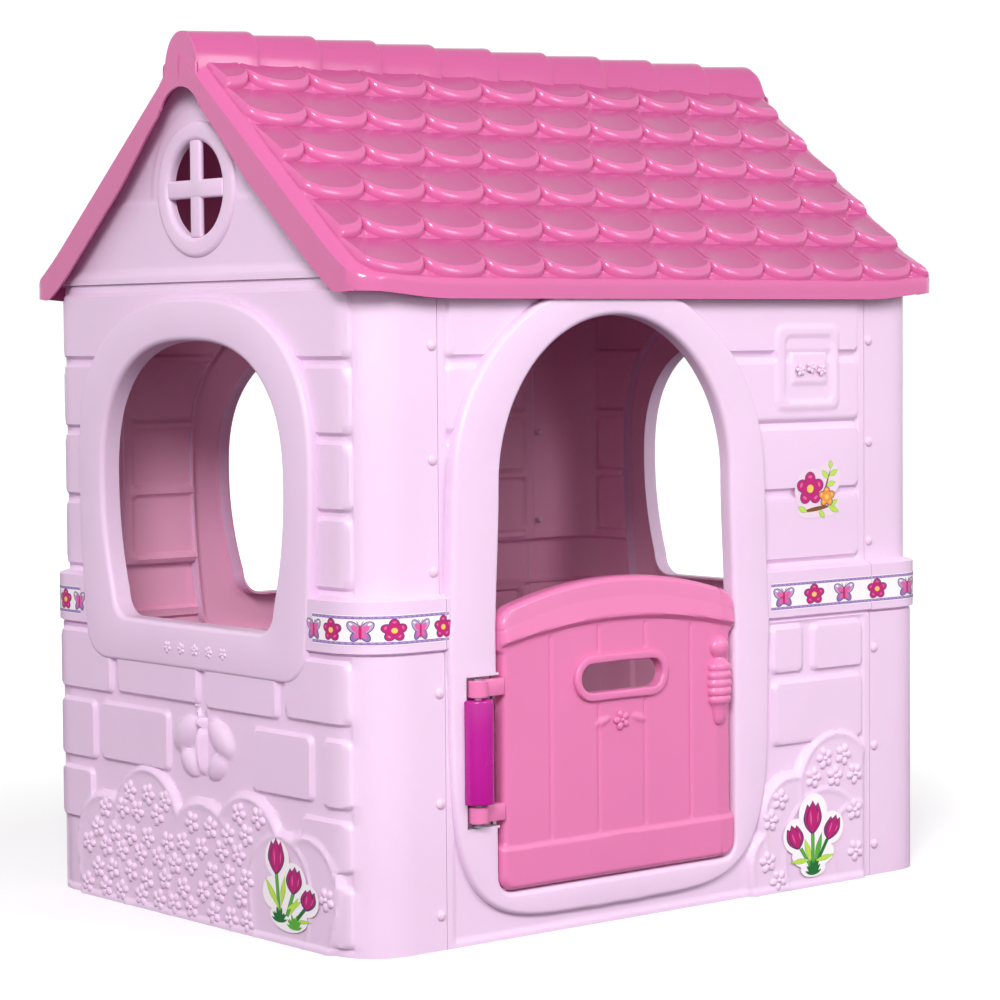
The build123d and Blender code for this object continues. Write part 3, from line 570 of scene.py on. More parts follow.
def paint_inside_bounce(piece):
    # the cabin side of a wall is a little rougher than its outside and painted a deeper pink, standing in
    # for the pink light bounced round inside the house
    piece.data.materials.append(inside_painted_bounce)
    count = len(piece.data.polygons)
    normal, centre = np.empty(count * 3), np.empty(count * 3)
    piece.data.polygons.foreach_get("normal", normal)
    piece.data.polygons.foreach_get("center", centre)
    normal, centre = normal.reshape(-1, 3), centre.reshape(-1, 3) / MM
    plan = centre[:, :2]
    away = np.maximum(np.abs(plan) - (HALF_X - CORNER, HALF_Y - CORNER), 0) * np.sign(plan)
    facing = (normal[:, :2] * away).sum(1) / (np.hypot(away[:, 0], away[:, 1]) + 1e-6)
    within = (np.abs(plan) < (HALF_X + 15.5, HALF_Y + 15.5)).all(1)
    piece.data.polygons.foreach_set("material_index", ((facing < -0.35) & within).astype(int))


flower = flower_master(17.0)
small_flower = flower_master(9.0)

left_parts = side_wall_shell("left_wall_shell")
SIDE_STICKER = (-298.0, -166.0, 10.0, 146.0)
for cu, cz, turn in scatter_flowers(SIDE_LOBES, (SIDE_STICKER[0] - 10, SIDE_STICKER[1] + 14, 0, 158), 5):
    where = side_place(np.array([cu]), np.array([cz]), np.array([LOW_OUT - 2.6 + 8.2]))[0]
    left_parts.append(stamp(flower, "bloom", turn, where, (0, -1, 0), (0, 0, 1), (-1, 0, 0)))
for k in range(-2, 3):
    where = (-FACE_X, -12 + k * 34.0, 381)
    left_parts.append(stamp(small_flower, "bloom", 0.3 * k, where, (0, -1, 0), (0, 0, 1), (-1, 0, 0)))
left_wall = join("left_wall_shell", left_parts)
level_foot(left_wall)
smooth(left_wall)


def turned_about(piece, name):
    # the other end's piece is the same moulding turned half round
    other = piece.copy()
    other.data = piece.data.copy()
    other.name = name
    bpy.context.collection.objects.link(other)
    pick(other)
    other.rotation_euler = (0, 0, math.pi)
    bpy.ops.object.transform_apply(location=True, rotation=True, scale=True)
    return other


right_wall = turned_about(left_wall, "right_wall_shell")

settle(left_wall, wall_pink, "house", "wall", "left_wall")
settle(right_wall, wall_pink, "house", "wall", "right_wall")
paint_inside_bounce(left_wall)
paint_inside_bounce(right_wall)

# ---------------------------------------------------------------- front wall
# The same pink skin between the corner seams, pegged to the side walls.  It
# has the doorway's raised surround with a pocket for the hinge, a plaque,
# brickwork and a second flowering bush.
DOOR_FACE = -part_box("front_wall")[0].y / MM
DOOR_X = -101.0
DOORWAY = arch(221, 613, 841, 64, 26, 0, 2.0, DOOR_X)
DOORWAY[:, 0] = DOOR_X + (DOORWAY[:, 0] - DOOR_X) * np.where(
    DOORWAY[:, 1] > 400, 1 - 0.032 * ease((DOORWAY[:, 1] - 400) / 213), 1)
DOOR_MID = (DOOR_X, 430.0)
FRONT_LOBES = ((204, 44, 56), (238, 108, 66), (330, 146, 84), (305, 58, 92), (372, 64, 60))
FRONT_BRICKS = ((199, 266, 318, 390), (282, 392, 317, 388), (201, 392, 212, 308))


def surround_outline():
    t = np.linspace(0, math.pi / 2, 90)
    up = np.stack([289 * np.cos(t), 613 + 277 * np.sin(t)], 1)
    side = np.stack([np.linspace(296, 290, 20)[:-1], np.linspace(440, 613, 20)[:-1]], 1)
    q = np.linspace(math.pi / 2, 0, 90)[:-1]
    foot = np.stack([296 * np.cos(q) ** (2 / 5.0), 440 - 415 * np.sin(q) ** (2 / 5.0)], 1)
    right = np.concatenate([foot, side, up])
    left = right[::-1] * np.array([-1, 1])
    whole = np.concatenate([right, left])
    whole[:, 0] += DOOR_X - 5
    return whole


SURROUND = surround_outline()
EAVE_CUT = 872.0


def front_relief(x, z):
    out = wall_level(z) + field_edge(x, z, 396.0)
    band = (z > BAND_LOW - 4) & (z < BAND_HIGH + 4)
    out = np.where(band, wall_level(z), out)
    bricks = np.zeros_like(x)
    for u0, u1, z0, z1 in FRONT_BRICKS:
        bricks = np.maximum(bricks, pad(x, z, u0, u1, z0, z1))
    for z0, z1 in UPPER_ROWS:
        bricks = np.maximum(bricks, pad(x, z, -394, 394, z0, z1))
    plaque = pad(x, z, 216, 350, 699, 827, 9.0, 16.0, 4.0)
    plaque = plaque - pad(x, z, 236, 336, 714, 811, 4.0, 12.0, 3.0)
    plaque = plaque + pad(x, z, 249, 323, 737, 786, 4.0, 5.0, 3.0)
    bush = clumps(x, z, FRONT_LOBES) * ease((397 - x) / 10)
    return out + np.maximum(np.maximum(bricks, plaque), bush)


def front_place(x, z, out):
    return np.stack([x, -HALF_Y - out, z + 0 * x], 1)


sheet = grid_piece("front_wall_shell", 226, 244)
a, b = sheet_places(sheet)
inset = (SURROUND - DOOR_MID) * 0.993 + DOOR_MID
open_hole(
    sheet, (a - 0.5) * 2 * (SEAM_X - 1.2), b * WALL_TOP, inset, DOOR_MID,
    lambda u, z: front_place(u, z, front_relief(u, z)),
)
turn_faces(sheet, lambda c: Vector((0, -1, 0)))
thicken(sheet, SKIN)
ring = frame_ring(
    "surround", SURROUND, DOORWAY, DOOR_MID, DOOR_FACE - HALF_Y, -4.0, 22.0,
    lambda u, z, out: front_place(u, np.minimum(z, EAVE_CUT), out), 320,
)
turn_faces(ring, lambda c: Vector((0, -1, 0)))
thicken(ring, SKIN)

# pocket for the hinge: the surround is cut back and lined behind the barrel
HINGE_X = (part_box("hinge_pin")[0].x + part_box("hinge_pin")[1].x) / 2 / MM
HINGE_Y = (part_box("hinge_pin")[0].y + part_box("hinge_pin")[1].y) / 2 / MM
POCKET = (HINGE_X - 17.0, DOOR_X - 215.0, 158.0, 361.0)
cut(ring, block("notch", *POCKET[:2], -DOOR_FACE - 9, -HALF_Y - 4, *POCKET[2:]))
left, right, foot, head = POCKET
mouth, rear = -DOOR_FACE + 0.6, -HALF_Y - 3
liner = [
    block("pocket_back", left - 3, right - 5, -HALF_Y - 4, -HALF_Y - 0.5, foot - 3, head + 3),
    block("pocket_side", left - 3, left, mouth, rear, foot - 3, head + 3),
    block("pocket_foot", left - 1, right - 5, mouth, rear, foot - 3, foot),
    block("pocket_head", left - 1, right - 5, mouth, rear, head, head + 3),
]
front_parts = [sheet, ring] + liner
for cu, cz, turn in scatter_flowers(FRONT_LOBES, (212, 350, 0, 146), 11, 44.0):
    if cu < 384:
        where = (cu, -HALF_Y - (LOW_OUT - 2.6 + 8.2), cz)
        front_parts.append(stamp(flower, "bloom", turn, where, (1, 0, 0), (0, 0, 1), (0, -1, 0)))
for dx, dz, turn in ((-22, 0, 0.2), (0, 4, 0.9), (22, 0, 0.5)):
    where = (286 + dx, -HALF_Y - 6.0 - 3.4, 760 + dz)
    front_parts.append(stamp(small_flower, "bloom", turn, where, (1, 0, 0), (0, 0, 1), (0, -1, 0)))
front_wall = join("front_wall_shell", front_parts)
level_foot(front_wall)
smooth(front_wall)
settle(front_wall, wall_pink, "house", "wall", "front_wall")
paint_inside_bounce(front_wall)

# ---------------------------------------------------------------- back wall
# The same pink moulding between the back seams, pegged to the side walls,
# with a third big window and brickwork above and below it.
back_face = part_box("back_wall")[1].y / MM


def back_relief(x, z):
    out = wall_level(z) + field_edge(x, z, 396.0)
    band = (z > BAND_LOW - 4) & (z < BAND_HIGH + 4)
    out = np.where(band, wall_level(z), out)
    bricks = np.zeros_like(x)
    for row, (z0, z1) in enumerate(((8, 98), (108, 194), (204, 290), (300, 390))):
        edges = [-394, -250, -84, 82, 248, 394] if row % 2 else [-394, -334, -167, 0, 167, 334, 394]
        for e0, e1 in zip(edges[:-1], edges[1:]):
            bricks = np.maximum(bricks, pad(x, z, e0 + 5, e1 - 5, z0, z1))
    for z0, z1 in UPPER_ROWS:
        bricks = np.maximum(bricks, pad(x, z, -394, 394, z0, z1))
    return out + bricks


def back_place(x, z, out):
    return np.stack([-x, HALF_Y + out, z + 0 * x], 1)


sheet = grid_piece("back_wall_shell", 200, 222)
a, b = sheet_places(sheet)
inset = (WINDOW_FRAME - WINDOW_MID) * 0.992 + WINDOW_MID
open_hole(
    sheet, (a - 0.5) * 2 * (SEAM_X - 1.2), b * WALL_TOP, inset, WINDOW_MID,
    lambda u, z: back_place(u, z, back_relief(u, z)),
)
turn_faces(sheet, lambda c: Vector((0, 1, 0)))
thicken(sheet, SKIN)
ring = frame_ring(
    "back_frame", WINDOW_FRAME, WINDOW, WINDOW_MID, back_face - HALF_Y, -4.0, 30.0,
    lambda u, z, out: back_place(u, z, out),
)
turn_faces(ring, lambda c: Vector((0, 1, 0)))
thicken(ring, SKIN)
back_wall = join("back_wall_shell", [sheet, ring])
smooth(back_wall)
settle(back_wall, wall_pink, "house", "wall", "back_wall")
paint_inside_bounce(back_wall)
for extra in (flower, small_flower):
    bpy.data.objects.remove(extra, do_unlink=True)

# ---------------------------------------------------------------- gables
# The triangle over each side wall, one flat pink moulding with a flared foot,
# a rolled ring round the round window and a cross of bars in the opening.
# Its inner flange is pegged to the wall's shelf.
gable_low, gable_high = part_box("left_gable")
GABLE_X = -gable_low.x / MM - 8.0
GABLE_HALF = gable_high.y / MM - 1.5
ROUND_MID = (0.0, WALL_TOP + 128.0)
RING_R, ROUND_R, BAR = 95.0, 66.0, 13.0
roof_low, roof_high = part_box("roof_front")
CREST = roof_high.z / MM - 28.0
RISE = 0.827
TILT = math.atan(RISE)


def ring_line(radius, centre, count=160):
    t = np.linspace(0, 2 * math.pi, count, endpoint=False)
    return np.stack([centre[0] + radius * np.cos(t), centre[1] + radius * np.sin(t)], 1)


def gable_relief(y, z):
    low_field = 3.0 * ease((WALL_TOP + 118 - z) / 6)
    foot = 5.0 * ease((WALL_TOP + 22 - z) / 14)
    halo = 1.6 * ease((118 - np.hypot(y, z - ROUND_MID[1])) / 7) * ease((z - WALL_TOP - 112) / 8)
    return low_field + foot + halo


def gable_place(y, z, out):
    return np.stack([-GABLE_X - out, y, z], 1)


def plate(name, outline, depth):
    # a flat shape in x and y, carried down by its thickness
    n = len(outline)
    verts = [(p[0] * MM, p[1] * MM, 0) for p in outline]
    verts += [(p[0] * MM, p[1] * MM, -depth * MM) for p in outline]
    faces = [tuple(range(n)), tuple(reversed(range(n, 2 * n)))]
    faces += [(k, k + n, (k + 1) % n + n, (k + 1) % n) for k in range(n)]
    mesh = bpy.data.meshes.new(name)
    mesh.from_pydata(verts, [], faces)
    piece = bpy.data.objects.new(name, mesh)
    bpy.context.collection.objects.link(piece)
    return piece


sheet = grid_piece("left_gable_shell", 150, 76)
a, b = sheet_places(sheet)
y = (a - 0.5) * 2 * GABLE_HALF
z = WALL_TOP + 0.3 + b * (CREST - 5.2 - RISE * np.abs(y) - 2.0 - WALL_TOP)
open_hole(sheet, y, z, ring_line(RING_R - 3, ROUND_MID), ROUND_MID,
          lambda u, w: gable_place(u, w, gable_relief(u, w)))
turn_faces(sheet, lambda c: Vector((-1, 0, 0)))
thicken(sheet, SKIN)
ring = frame_ring("gable_ring", ring_line(RING_R, ROUND_MID), ring_line(ROUND_R, ROUND_MID),
                  ROUND_MID, 8.0, -3.0, 14.0, gable_place, 128)
turn_faces(ring, lambda c: Vector((-1, 0, 0)))
thicken(ring, SKIN)
bars = []
for k in range(2):
    half = (ROUND_R + 2, BAR) if k else (BAR, ROUND_R + 2)
    bar = block("bar", -GABLE_X - 6.5 - 0.3 * k, -GABLE_X + 2.5 - 0.3 * k, -half[0], half[0],
                ROUND_MID[1] - half[1], ROUND_MID[1] + half[1])
    bevel(bar, 4.2, 4)
    bars.append(bar)
shelf = block("shelf_flange", -GABLE_X + 1, -GABLE_X + 26, -GABLE_HALF + 40, GABLE_HALF - 40,
              WALL_TOP + 0.4, WALL_TOP + 4)
bevel(shelf, 1.0, 2)
left_gable = join("left_gable_shell", [sheet, ring, shelf] + bars)
smooth(left_gable)


right_gable = turned_about(left_gable, "right_gable_shell")
settle(left_gable, wall_pink, "house", "wall", "left_gable")
settle(right_gable, wall_pink, "house", "wall", "right_gable")

# ---------------------------------------------------------------- roof
# Two glossy pink mouldings laid over the gables and pegged under the rakes.
# Six rows of round-ended scales are pressed into each, inside a plain border
# and a deep folded edge.  The front one carries the ridge cap of ten saddles.
ROOF_X = roof_high.x / MM
ROOF_Y = -roof_low.y / MM
EAVE = roof_low.z / MM
ROOF_PINK = (0.63, 0.13, 0.335)
CHAMFER, ROLL, FOLD = 13.0, 13.0, 44.0
SCALE, SCALES_LEFT, SCALES_RIGHT = 104.0, -532.0, 534.0
ROW_FROM, ROW_PITCH, SAG = 16.5, 63.6, 25.0
NOSE = 13.5
ARCH_R, ARCH_TOP = 54.0, 55.0


def slope_place(x, v, h, sign):
    return np.stack([x, sign * (v + h * math.sin(TILT)), CREST - RISE * v + h * math.cos(TILT)], 1)


def verge_depth(v):
    # how far a verge hangs under the slope: an arch at the apex, deepest half way down
    head = ARCH_TOP + ARCH_R - np.sqrt(ARCH_R ** 2 - np.minimum(v, 50) ** 2) - RISE * v
    belly = 50.2 + 14.0 * ease((v - 50) / 120)
    return np.where(v < 50, head, belly)


def past_edge(x, s, side, run, corner, reach):
    # pulls places beyond a rounded box back to its edge; how far they were, and the way out
    qx = np.abs(x) - (side - corner)
    qs = np.abs(s) - (run - corner)
    long = np.hypot(np.maximum(qx, 0), np.maximum(qs, 0))
    over = long + np.minimum(np.maximum(qx, qs), 0) - corner
    beyond = over > 0
    nx = np.where(beyond, np.maximum(qx, 0) / (long + 1e-9), 0) * np.sign(x)
    ns = np.where(beyond, np.maximum(qs, 0) / (long + 1e-9), 0) * np.sign(s)
    pull = np.maximum(over, 0)
    return x - nx * pull, s - ns * pull, over, nx, ns


def roof_sheet(name, sign):
    side, run = ROOF_X - CHAMFER - 0.4, (ROOF_Y - ROLL) / math.cos(TILT)
    fine = list(np.linspace(-side, -side + 44, 12))
    outer = [-side - FOLD, -side - 32, -side - 18.5, -side - 9]
    cols = outer + fine + list(np.linspace(-side + 60, side - 60, 50))
    cols += [-c for c in reversed(fine)] + [-c for c in reversed(outer)]
    rows = list(np.linspace(2.0, run - 60, 34)) + list(np.linspace(run - 44, run, 12))
    rows += [run + 4, run + 8, run + 12, run + 16, run + 20.4, run + 32, run + FOLD]
    sheet = grid_piece(name, len(cols) - 1, len(rows) - 1)
    x, s = by_lists(sheet, cols, rows)
    x, s, over, nx, ns = past_edge(x, s, side, run, 36.0, FOLD)
    d = np.clip(over, 0, FOLD)
    v = s * math.cos(TILT)
    place = slope_place(x, v, 2.5 + 0 * x, sign)
    deep = np.minimum(verge_depth(v), place[:, 2] - EAVE)
    share = np.clip(d / 18.5, 0, 1)
    cut_drop = CHAMFER * share + np.clip((d - 18.5) / (FOLD - 18.5), 0, 1) * (deep - CHAMFER)
    bend = np.clip(d / 20.4, 0, 1) * math.pi / 2
    roll_drop = ROLL * (1 - np.cos(bend)) + np.clip((d - 20.4) / (FOLD - 20.4), 0, 1) * (deep - ROLL)
    w = np.clip(nx ** 2 * 1.2, 0, 1)
    out = CHAMFER * share * w + ROLL * np.sin(bend) * (1 - w)
    place[:, 0] += nx * out
    place[:, 1] += sign * ns * out
    place[:, 1] = np.clip(place[:, 1], -ROOF_Y + 0.3, ROOF_Y - 0.3)
    place[:, 2] -= cut_drop * w + roll_drop * (1 - w)
    press(sheet, place)
    weld(sheet, 0.02)
    turn_faces(sheet, lambda c: Vector((0, sign * 0.5, 1)))
    thicken(sheet, SKIN)
    return sheet


def scale_row(k, sign):
    # one row of scales, its lines drawn round the ends so that every nose stays crisp
    shift = 0.0 if k % 2 else SCALE / 2
    across = np.sin(np.linspace(-1, 1, 23) * math.pi / 2) * SCALE / 2
    cols = [SCALES_LEFT - shift + SCALE * (j + 0.5) + c for j in range(12) for c in across[:-1]]
    cols = [c for c in cols if SCALES_LEFT + 11 < c < SCALES_RIGHT - 11]
    border = (0, 0.5, 2, 5, 9)
    cols = [SCALES_LEFT + e for e in border] + cols + [SCALES_RIGHT - e for e in reversed(border)]
    rows = [0, 0.25, 0.8, 1.9, 3.6, 6, 9, 12, 14, 15.5, 17, 19, 30, 48, 70, 90, 116]
    sheet = grid_piece("scales", len(cols) - 1, len(rows) - 1)
    x, d = by_lists(sheet, cols, rows)
    q = np.abs((x - SCALES_LEFT + shift) % SCALE - SCALE / 2) / (SCALE / 2)
    edge = ROW_FROM + ROW_PITCH * (k + 1) - SAG * (1 - np.clip(1 - q ** 2.1, 0, 1) ** (1 / 2.1))
    v = np.maximum(edge - d * math.cos(TILT), 3.0)
    h = NOSE * np.sqrt(1 - (1 - np.clip(d / 13, 0, 1)) ** 2) - 1.4 * ease((d - 13.5) / 4)
    h = h - (NOSE - 2.4) * np.clip((d - 17.5) / 65, 0, 1) - 2.5 * np.clip((d - 83) / 33, 0, 1)
    side = (1 - q) * SCALE / 2
    h = h - np.clip(h, 0, 5.5) * (1 - np.sqrt(np.clip(1 - (1 - np.clip(side / 7, 0, 1)) ** 2, 0, 1)))
    inside = np.minimum(x - SCALES_LEFT, SCALES_RIGHT - x)
    rim = np.sqrt(np.clip(1 - (1 - np.clip(inside / 9, 0, 1)) ** 2, 0, 1))
    h = np.minimum(h, NOSE * rim)
    press(sheet, slope_place(x, v, 1.6 + h, sign))
    # painted shade: the flat back of each scale behind its nose is marked for darkening in the roof's
    # colour, standing in for the dimmer light on these upward-facing backs
    tone = sheet.data.attributes.new("painted_shade", "FLOAT", "POINT")
    tone.data.foreach_set("value", ease((d - 13.5) / 3) * ease((inside - 4) / 5))
    turn_faces(sheet, lambda c: Vector((0, sign * 0.5, 1)))
    return sheet


CAP_POWER = 2.1


def ridge_cap():
    start, tiles = -ROOF_X + 5.0, 10
    pitch = (2 * ROOF_X - 24.0) / tiles
    # one saddle: how far along it, and how high it has swept up to its lapped end
    saddle = ((0.0, 0.0), (0.02, 0.0), (0.2, 0.9), (0.4, 1.9), (0.6, 3.0), (0.8, 4.1), (0.95, 5.0),
              (0.98, 4.9), (0.994, 4.2), (0.999, 2.8))
    xs = [start + (k + along) * pitch for k in range(tiles) for along, up in saddle]
    lift = [up for k in range(tiles) for along, up in saddle]
    turns = 40
    sheet = grid_piece("ridge_cap", len(xs) - 1, turns)
    a, b = sheet_places(sheet)
    col = np.rint(a * (len(xs) - 1)).astype(int)
    x = np.array(xs)[col]
    up = np.array(lift)[col]
    c, s = np.cos(b * math.pi), np.sin(b * math.pi)
    yy = np.sign(c) * (40.0 + up) * np.abs(c) ** (2 / CAP_POWER)
    zz = CREST - 41 + (62.5 + up) * np.abs(s) ** (2 / CAP_POWER)
    lean = 9.0 * (1 - np.abs(s)) * np.clip((ROOF_X - 40 - np.abs(x)) / 40, 0, 1)
    slant = 8.0 * (1 - np.abs(s)) * ease((x - ROOF_X + 60) / 40)
    press(sheet, np.stack([x - lean + slant, yy, np.minimum(zz, roof_high.z / MM - 0.3)], 1))
    # painted shade: the whole cap is marked at 0.6 for the same darkening as the scale backs
    tone = sheet.data.attributes.new("painted_shade", "FLOAT", "POINT")
    tone.data.foreach_set("value", np.full(len(x), 0.6))
    turn_faces(sheet, lambda p: Vector((0, p.y, p.z - (CREST - 30) * MM)))
    thicken(sheet, SKIN)
    ends = []
    for k in (-1, 1):
        # a round-headed plate closes the cap and covers the meeting of the two verges
        crown = [(math.copysign(abs(math.cos(q)) ** (2 / CAP_POWER), math.cos(q)) * 40,
                  -41 + 62 * abs(math.sin(q)) ** (2 / CAP_POWER)) for q in np.linspace(0, math.pi, 41)]
        arch_y = np.linspace(-49, 49, 29)
        arch_z = -RISE * np.abs(arch_y) - verge_depth(np.abs(arch_y))
        shape = [(49, -50)] + crown + [(-49, -50)] + list(zip(arch_y, arch_z))
        end = plate("cap_end", shape, 3.4)
        co = np.empty(len(end.data.vertices) * 3)
        end.data.vertices.foreach_get("co", co)
        co = co.reshape(-1, 3) / MM
        top_in = np.where(co[:, 1] > -24, 3.0 if k < 0 else 9.0, 0.0)
        press(end, np.stack([k * (ROOF_X - 0.1 - top_in + co[:, 2]), co[:, 0] * k, CREST + co[:, 1]], 1))
        ends.append(end)
    return [sheet] + ends


roof_pink = plastic("roof_pink", ROOF_PINK, 0.17, grain=0.01, scuff=0.07, coat=0.15, soft=0.04)
tree = roof_pink.node_tree
shader = tree.nodes["Principled BSDF"]
source = shader.inputs["Base Color"].links[0].from_socket
# painted shade: the marked scale backs and cap have their base colour multiplied darker, standing in for
# the dimmer light that falls on them
mark = tree.nodes.new("ShaderNodeAttribute")
mark.attribute_name = "painted_shade"
painted_shade_mix = tree.nodes.new("ShaderNodeMix")
painted_shade_mix.data_type = "RGBA"
painted_shade_mix.blend_type = "MULTIPLY"
painted_shade_mix.inputs["B"].default_value = (0.77, 0.55, 0.70, 1)
tree.links.new(mark.outputs["Fac"], painted_shade_mix.inputs["Factor"])
tree.links.new(source, painted_shade_mix.inputs["A"])
tree.links.new(painted_shade_mix.outputs["Result"], shader.inputs["Base Color"])


def keep_within(piece, half):
    # levels the drip edge, then lifts it a little towards each rounded corner
    co = np.empty(len(piece.data.vertices) * 3)
    piece.data.vertices.foreach_get("co", co)
    co = co.reshape(-1, 3) / MM
    co[:, 0] = np.clip(co[:, 0], -half, half)
    co[:, 2] = np.maximum(co[:, 2], EAVE + 0.2)
    corner = ease((np.abs(co[:, 0]) - ROOF_X + 150) / 140) * ease((np.abs(co[:, 1]) - ROOF_Y + 120) / 105)
    co[:, 2] += 10 * corner * np.clip(1 - (co[:, 2] - EAVE) / 80, 0, 1)
    press(piece, co)


front_rows = [scale_row(k, -1) for k in range(6)]
front_half = join("roof_front_shell", [roof_sheet("roof_front_sheet", -1)] + front_rows + ridge_cap())
keep_within(front_half, ROOF_X - 0.1)
smooth(front_half, 40)
back_rows = [scale_row(k, 1) for k in range(6)]
back_half = join("roof_back_shell", [roof_sheet("roof_back_sheet", 1)] + back_rows)
keep_within(back_half, ROOF_X - 0.1)
smooth(back_half, 40)
settle(front_half, roof_pink, "house", "roof", "roof_front")
settle(back_half, roof_pink, "house", "roof", "roof_back")

# ---------------------------------------------------------------- half door
# A hollow pink tray hung in the doorway: rolled outer edge, four plank
# grooves, a raised cap and foot rail, a rimmed letter slot with a little
# flower under it, a moulded handle, and two lugs that hold the hinge pin.
PANEL_LEFT, PANEL_RIGHT, PANEL_FOOT = DOOR_X - 218.0, DOOR_X + 218.0, 67.0
PANEL_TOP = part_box("door_panel")[1].z / MM
PANEL_FACE = DOOR_FACE
RAIL_TOP = 127.0
DOOR_PINK = (0.77, 0.20, 0.43)
SLOT_MID = (DOOR_X, 343.0)


def stadium(long, high, centre, count=40):
    r = high / 2
    reach = long / 2 - r
    t = np.linspace(-math.pi / 2, math.pi / 2, count)
    right = np.stack([reach + r * np.cos(t), r * np.sin(t)], 1)
    top = np.stack([np.linspace(reach, -reach, 30)[1:-1], np.full(28, r)], 1)
    return np.concatenate([right, top, -right, -top]) + np.array(centre)


def door_relief(x, z):
    u = (x - (PANEL_LEFT + PANEL_RIGHT) / 2) / 218.0
    cap_edge = 419 - 25 * u ** 2
    cap = 8.5 * ease((z - cap_edge) / 8) - 0.12 * np.maximum(z - cap_edge - 8, 0)
    rail = 3.4 * ease((RAIL_TOP - z) / 5)
    grooves = np.zeros_like(x)
    for k in range(4):
        grooves = np.maximum(grooves, np.exp(-((x - (PANEL_LEFT + 90 + k * 87.0)) / 1.9) ** 2))
    grooves = grooves * ease((z - RAIL_TOP - 2) / 4) * ease((cap_edge - 2 - z) / 4)
    from_slot = np.hypot(np.maximum(np.abs(x - SLOT_MID[0]) - 58, 0), z - SLOT_MID[1])
    grooves = grooves * ease((from_slot - 34) / 4)
    leaf = np.zeros_like(x)
    for du, turn in ((-34, 18), (34, -18)):
        leaf = np.maximum(leaf, petal_bump(x, z, DOOR_X + du, 281, 15, 5.5, turn, 2.2))
    return cap + rail - 2.2 * grooves + leaf


HALF_DOOR = (PANEL_RIGHT - PANEL_LEFT) / 2
MID_DOOR = (PANEL_LEFT + PANEL_RIGHT) / 2
TALL_DOOR = (PANEL_TOP - PANEL_FOOT) / 2
DEEP, EDGE = 18.0, 7.0
side, run = HALF_DOOR - EDGE, TALL_DOOR - EDGE
fine = list(np.linspace(-side, -side + 20, 9))
outer = [-side - 24, -side - 16, -side - 11, -side - 8, -side - 5.5, -side - 3, -side - 1.2]
cols = outer + fine + list(np.linspace(-side + 23, side - 23, 150)) + [-c for c in reversed(fine + outer)]
fine = list(np.linspace(-run, -run + 20, 9))
outer = [-run - 24, -run - 16, -run - 11, -run - 8, -run - 5.5, -run - 3, -run - 1.2]
rows = outer + fine + list(np.linspace(-run + 23, run - 23, 140)) + [-c for c in reversed(fine + outer)]
sheet = grid_piece("door_shell", len(cols) - 1, len(rows) - 1)
x, s = by_lists(sheet, cols, rows)
x, s, over, nx, ns = past_edge(x, s, side, run, 15.0, 24.0)
bend = np.clip(over / 11, 0, 1) * math.pi / 2
x = x + nx * EDGE * np.sin(bend)
s = s + ns * EDGE * np.sin(bend)
drop = EDGE * (1 - np.cos(bend)) + np.clip((over - 11) / 13, 0, 1) * (DEEP - EDGE)
# the crown bows the top edge, and the boards stand in from the cap and the rail
crown = 36.0 * (1 - (x / HALF_DOOR) ** 2)
z = PANEL_FOOT + (s + TALL_DOOR) * (PANEL_TOP - 36 + crown - PANEL_FOOT) / (2 * TALL_DOOR)
cap_line = 419 - 25 * (x / HALF_DOOR) ** 2
boards = ease((z - RAIL_TOP + 2) / 6) * ease((cap_line - z) / 8)
u = MID_DOOR + x * (1 - 6.5 * boards / HALF_DOOR)
relief = door_relief(u, z) * np.clip(1 - over / 14, 0, 1)


def door_place(x, z, out):
    return np.stack([x + 0 * z, -PANEL_FACE - out, z + 0 * x], 1)


press(sheet, door_place(u, z, relief - drop))
slot_hole = block("slot_cut", SLOT_MID[0] - 80, SLOT_MID[0] + 80, -PANEL_FACE - 20, -PANEL_FACE + 12,
                  SLOT_MID[1] - 26, SLOT_MID[1] + 26)
weld(sheet, 0.02)
turn_faces(sheet, lambda c: Vector((0, -1, 0)))
thicken(sheet, SKIN)
bevel(slot_hole, 20, 6)
cut(sheet, slot_hole)
rim = frame_ring("slot_rim", stadium(174, 64, SLOT_MID), stadium(150, 40, SLOT_MID), SLOT_MID,
                 6.0, -2.0, 17.0, door_place, 200, 3.6)
turn_faces(rim, lambda c: Vector((0, -1, 0)))
thicken(rim, 3.0)

HANDLE_X = 87.0


def turned(name, profile, where, flat=1.0):
    # a turned knob or grip: rings of (height, radius) stood on end, squeezed front to back by flat
    n = 28
    sheet = grid_piece(name, n, len(profile) - 1)
    a, b = sheet_places(sheet)
    row = np.rint(b * (len(profile) - 1)).astype(int)
    radius = np.array([p[1] for p in profile])[row]
    height = np.array([p[0] for p in profile])[row]
    t = a * 2 * math.pi
    across, deep = radius * np.cos(t), flat * radius * np.sin(t)
    press(sheet, np.stack([across, deep, height], 1) + np.array(where))
    weld(sheet)
    turn_faces(sheet, lambda c: Vector((c.x - where[0] * MM, c.y - where[1] * MM, 0)))
    return sheet


grip = [(0, 0.4), (1, 6), (4, 9), (10, 11.5), (18, 12.5), (26, 14), (31, 17)]
for ring_k in range(5):
    start = 32 + ring_k * 11.5
    swell = 20.5 + (1.5 if 0 < ring_k < 4 else 0)
    grip += [(start, swell - 2.2), (start + 2, swell - 0.4), (start + 5, swell),
             (start + 8.5, swell - 0.4), (start + 10.4, swell - 2.2)]
grip += [(91, 15), (94, 11), (97, 9.5), (99, 11), (102, 14), (107, 16.6), (112, 17.2),
         (118, 16.2), (123, 13), (127, 8), (129, 4), (129.5, 0.4)]
handle = turned("handle", grip, (HANDLE_X, -PANEL_FACE + 1.0, 257.0), 0.72)

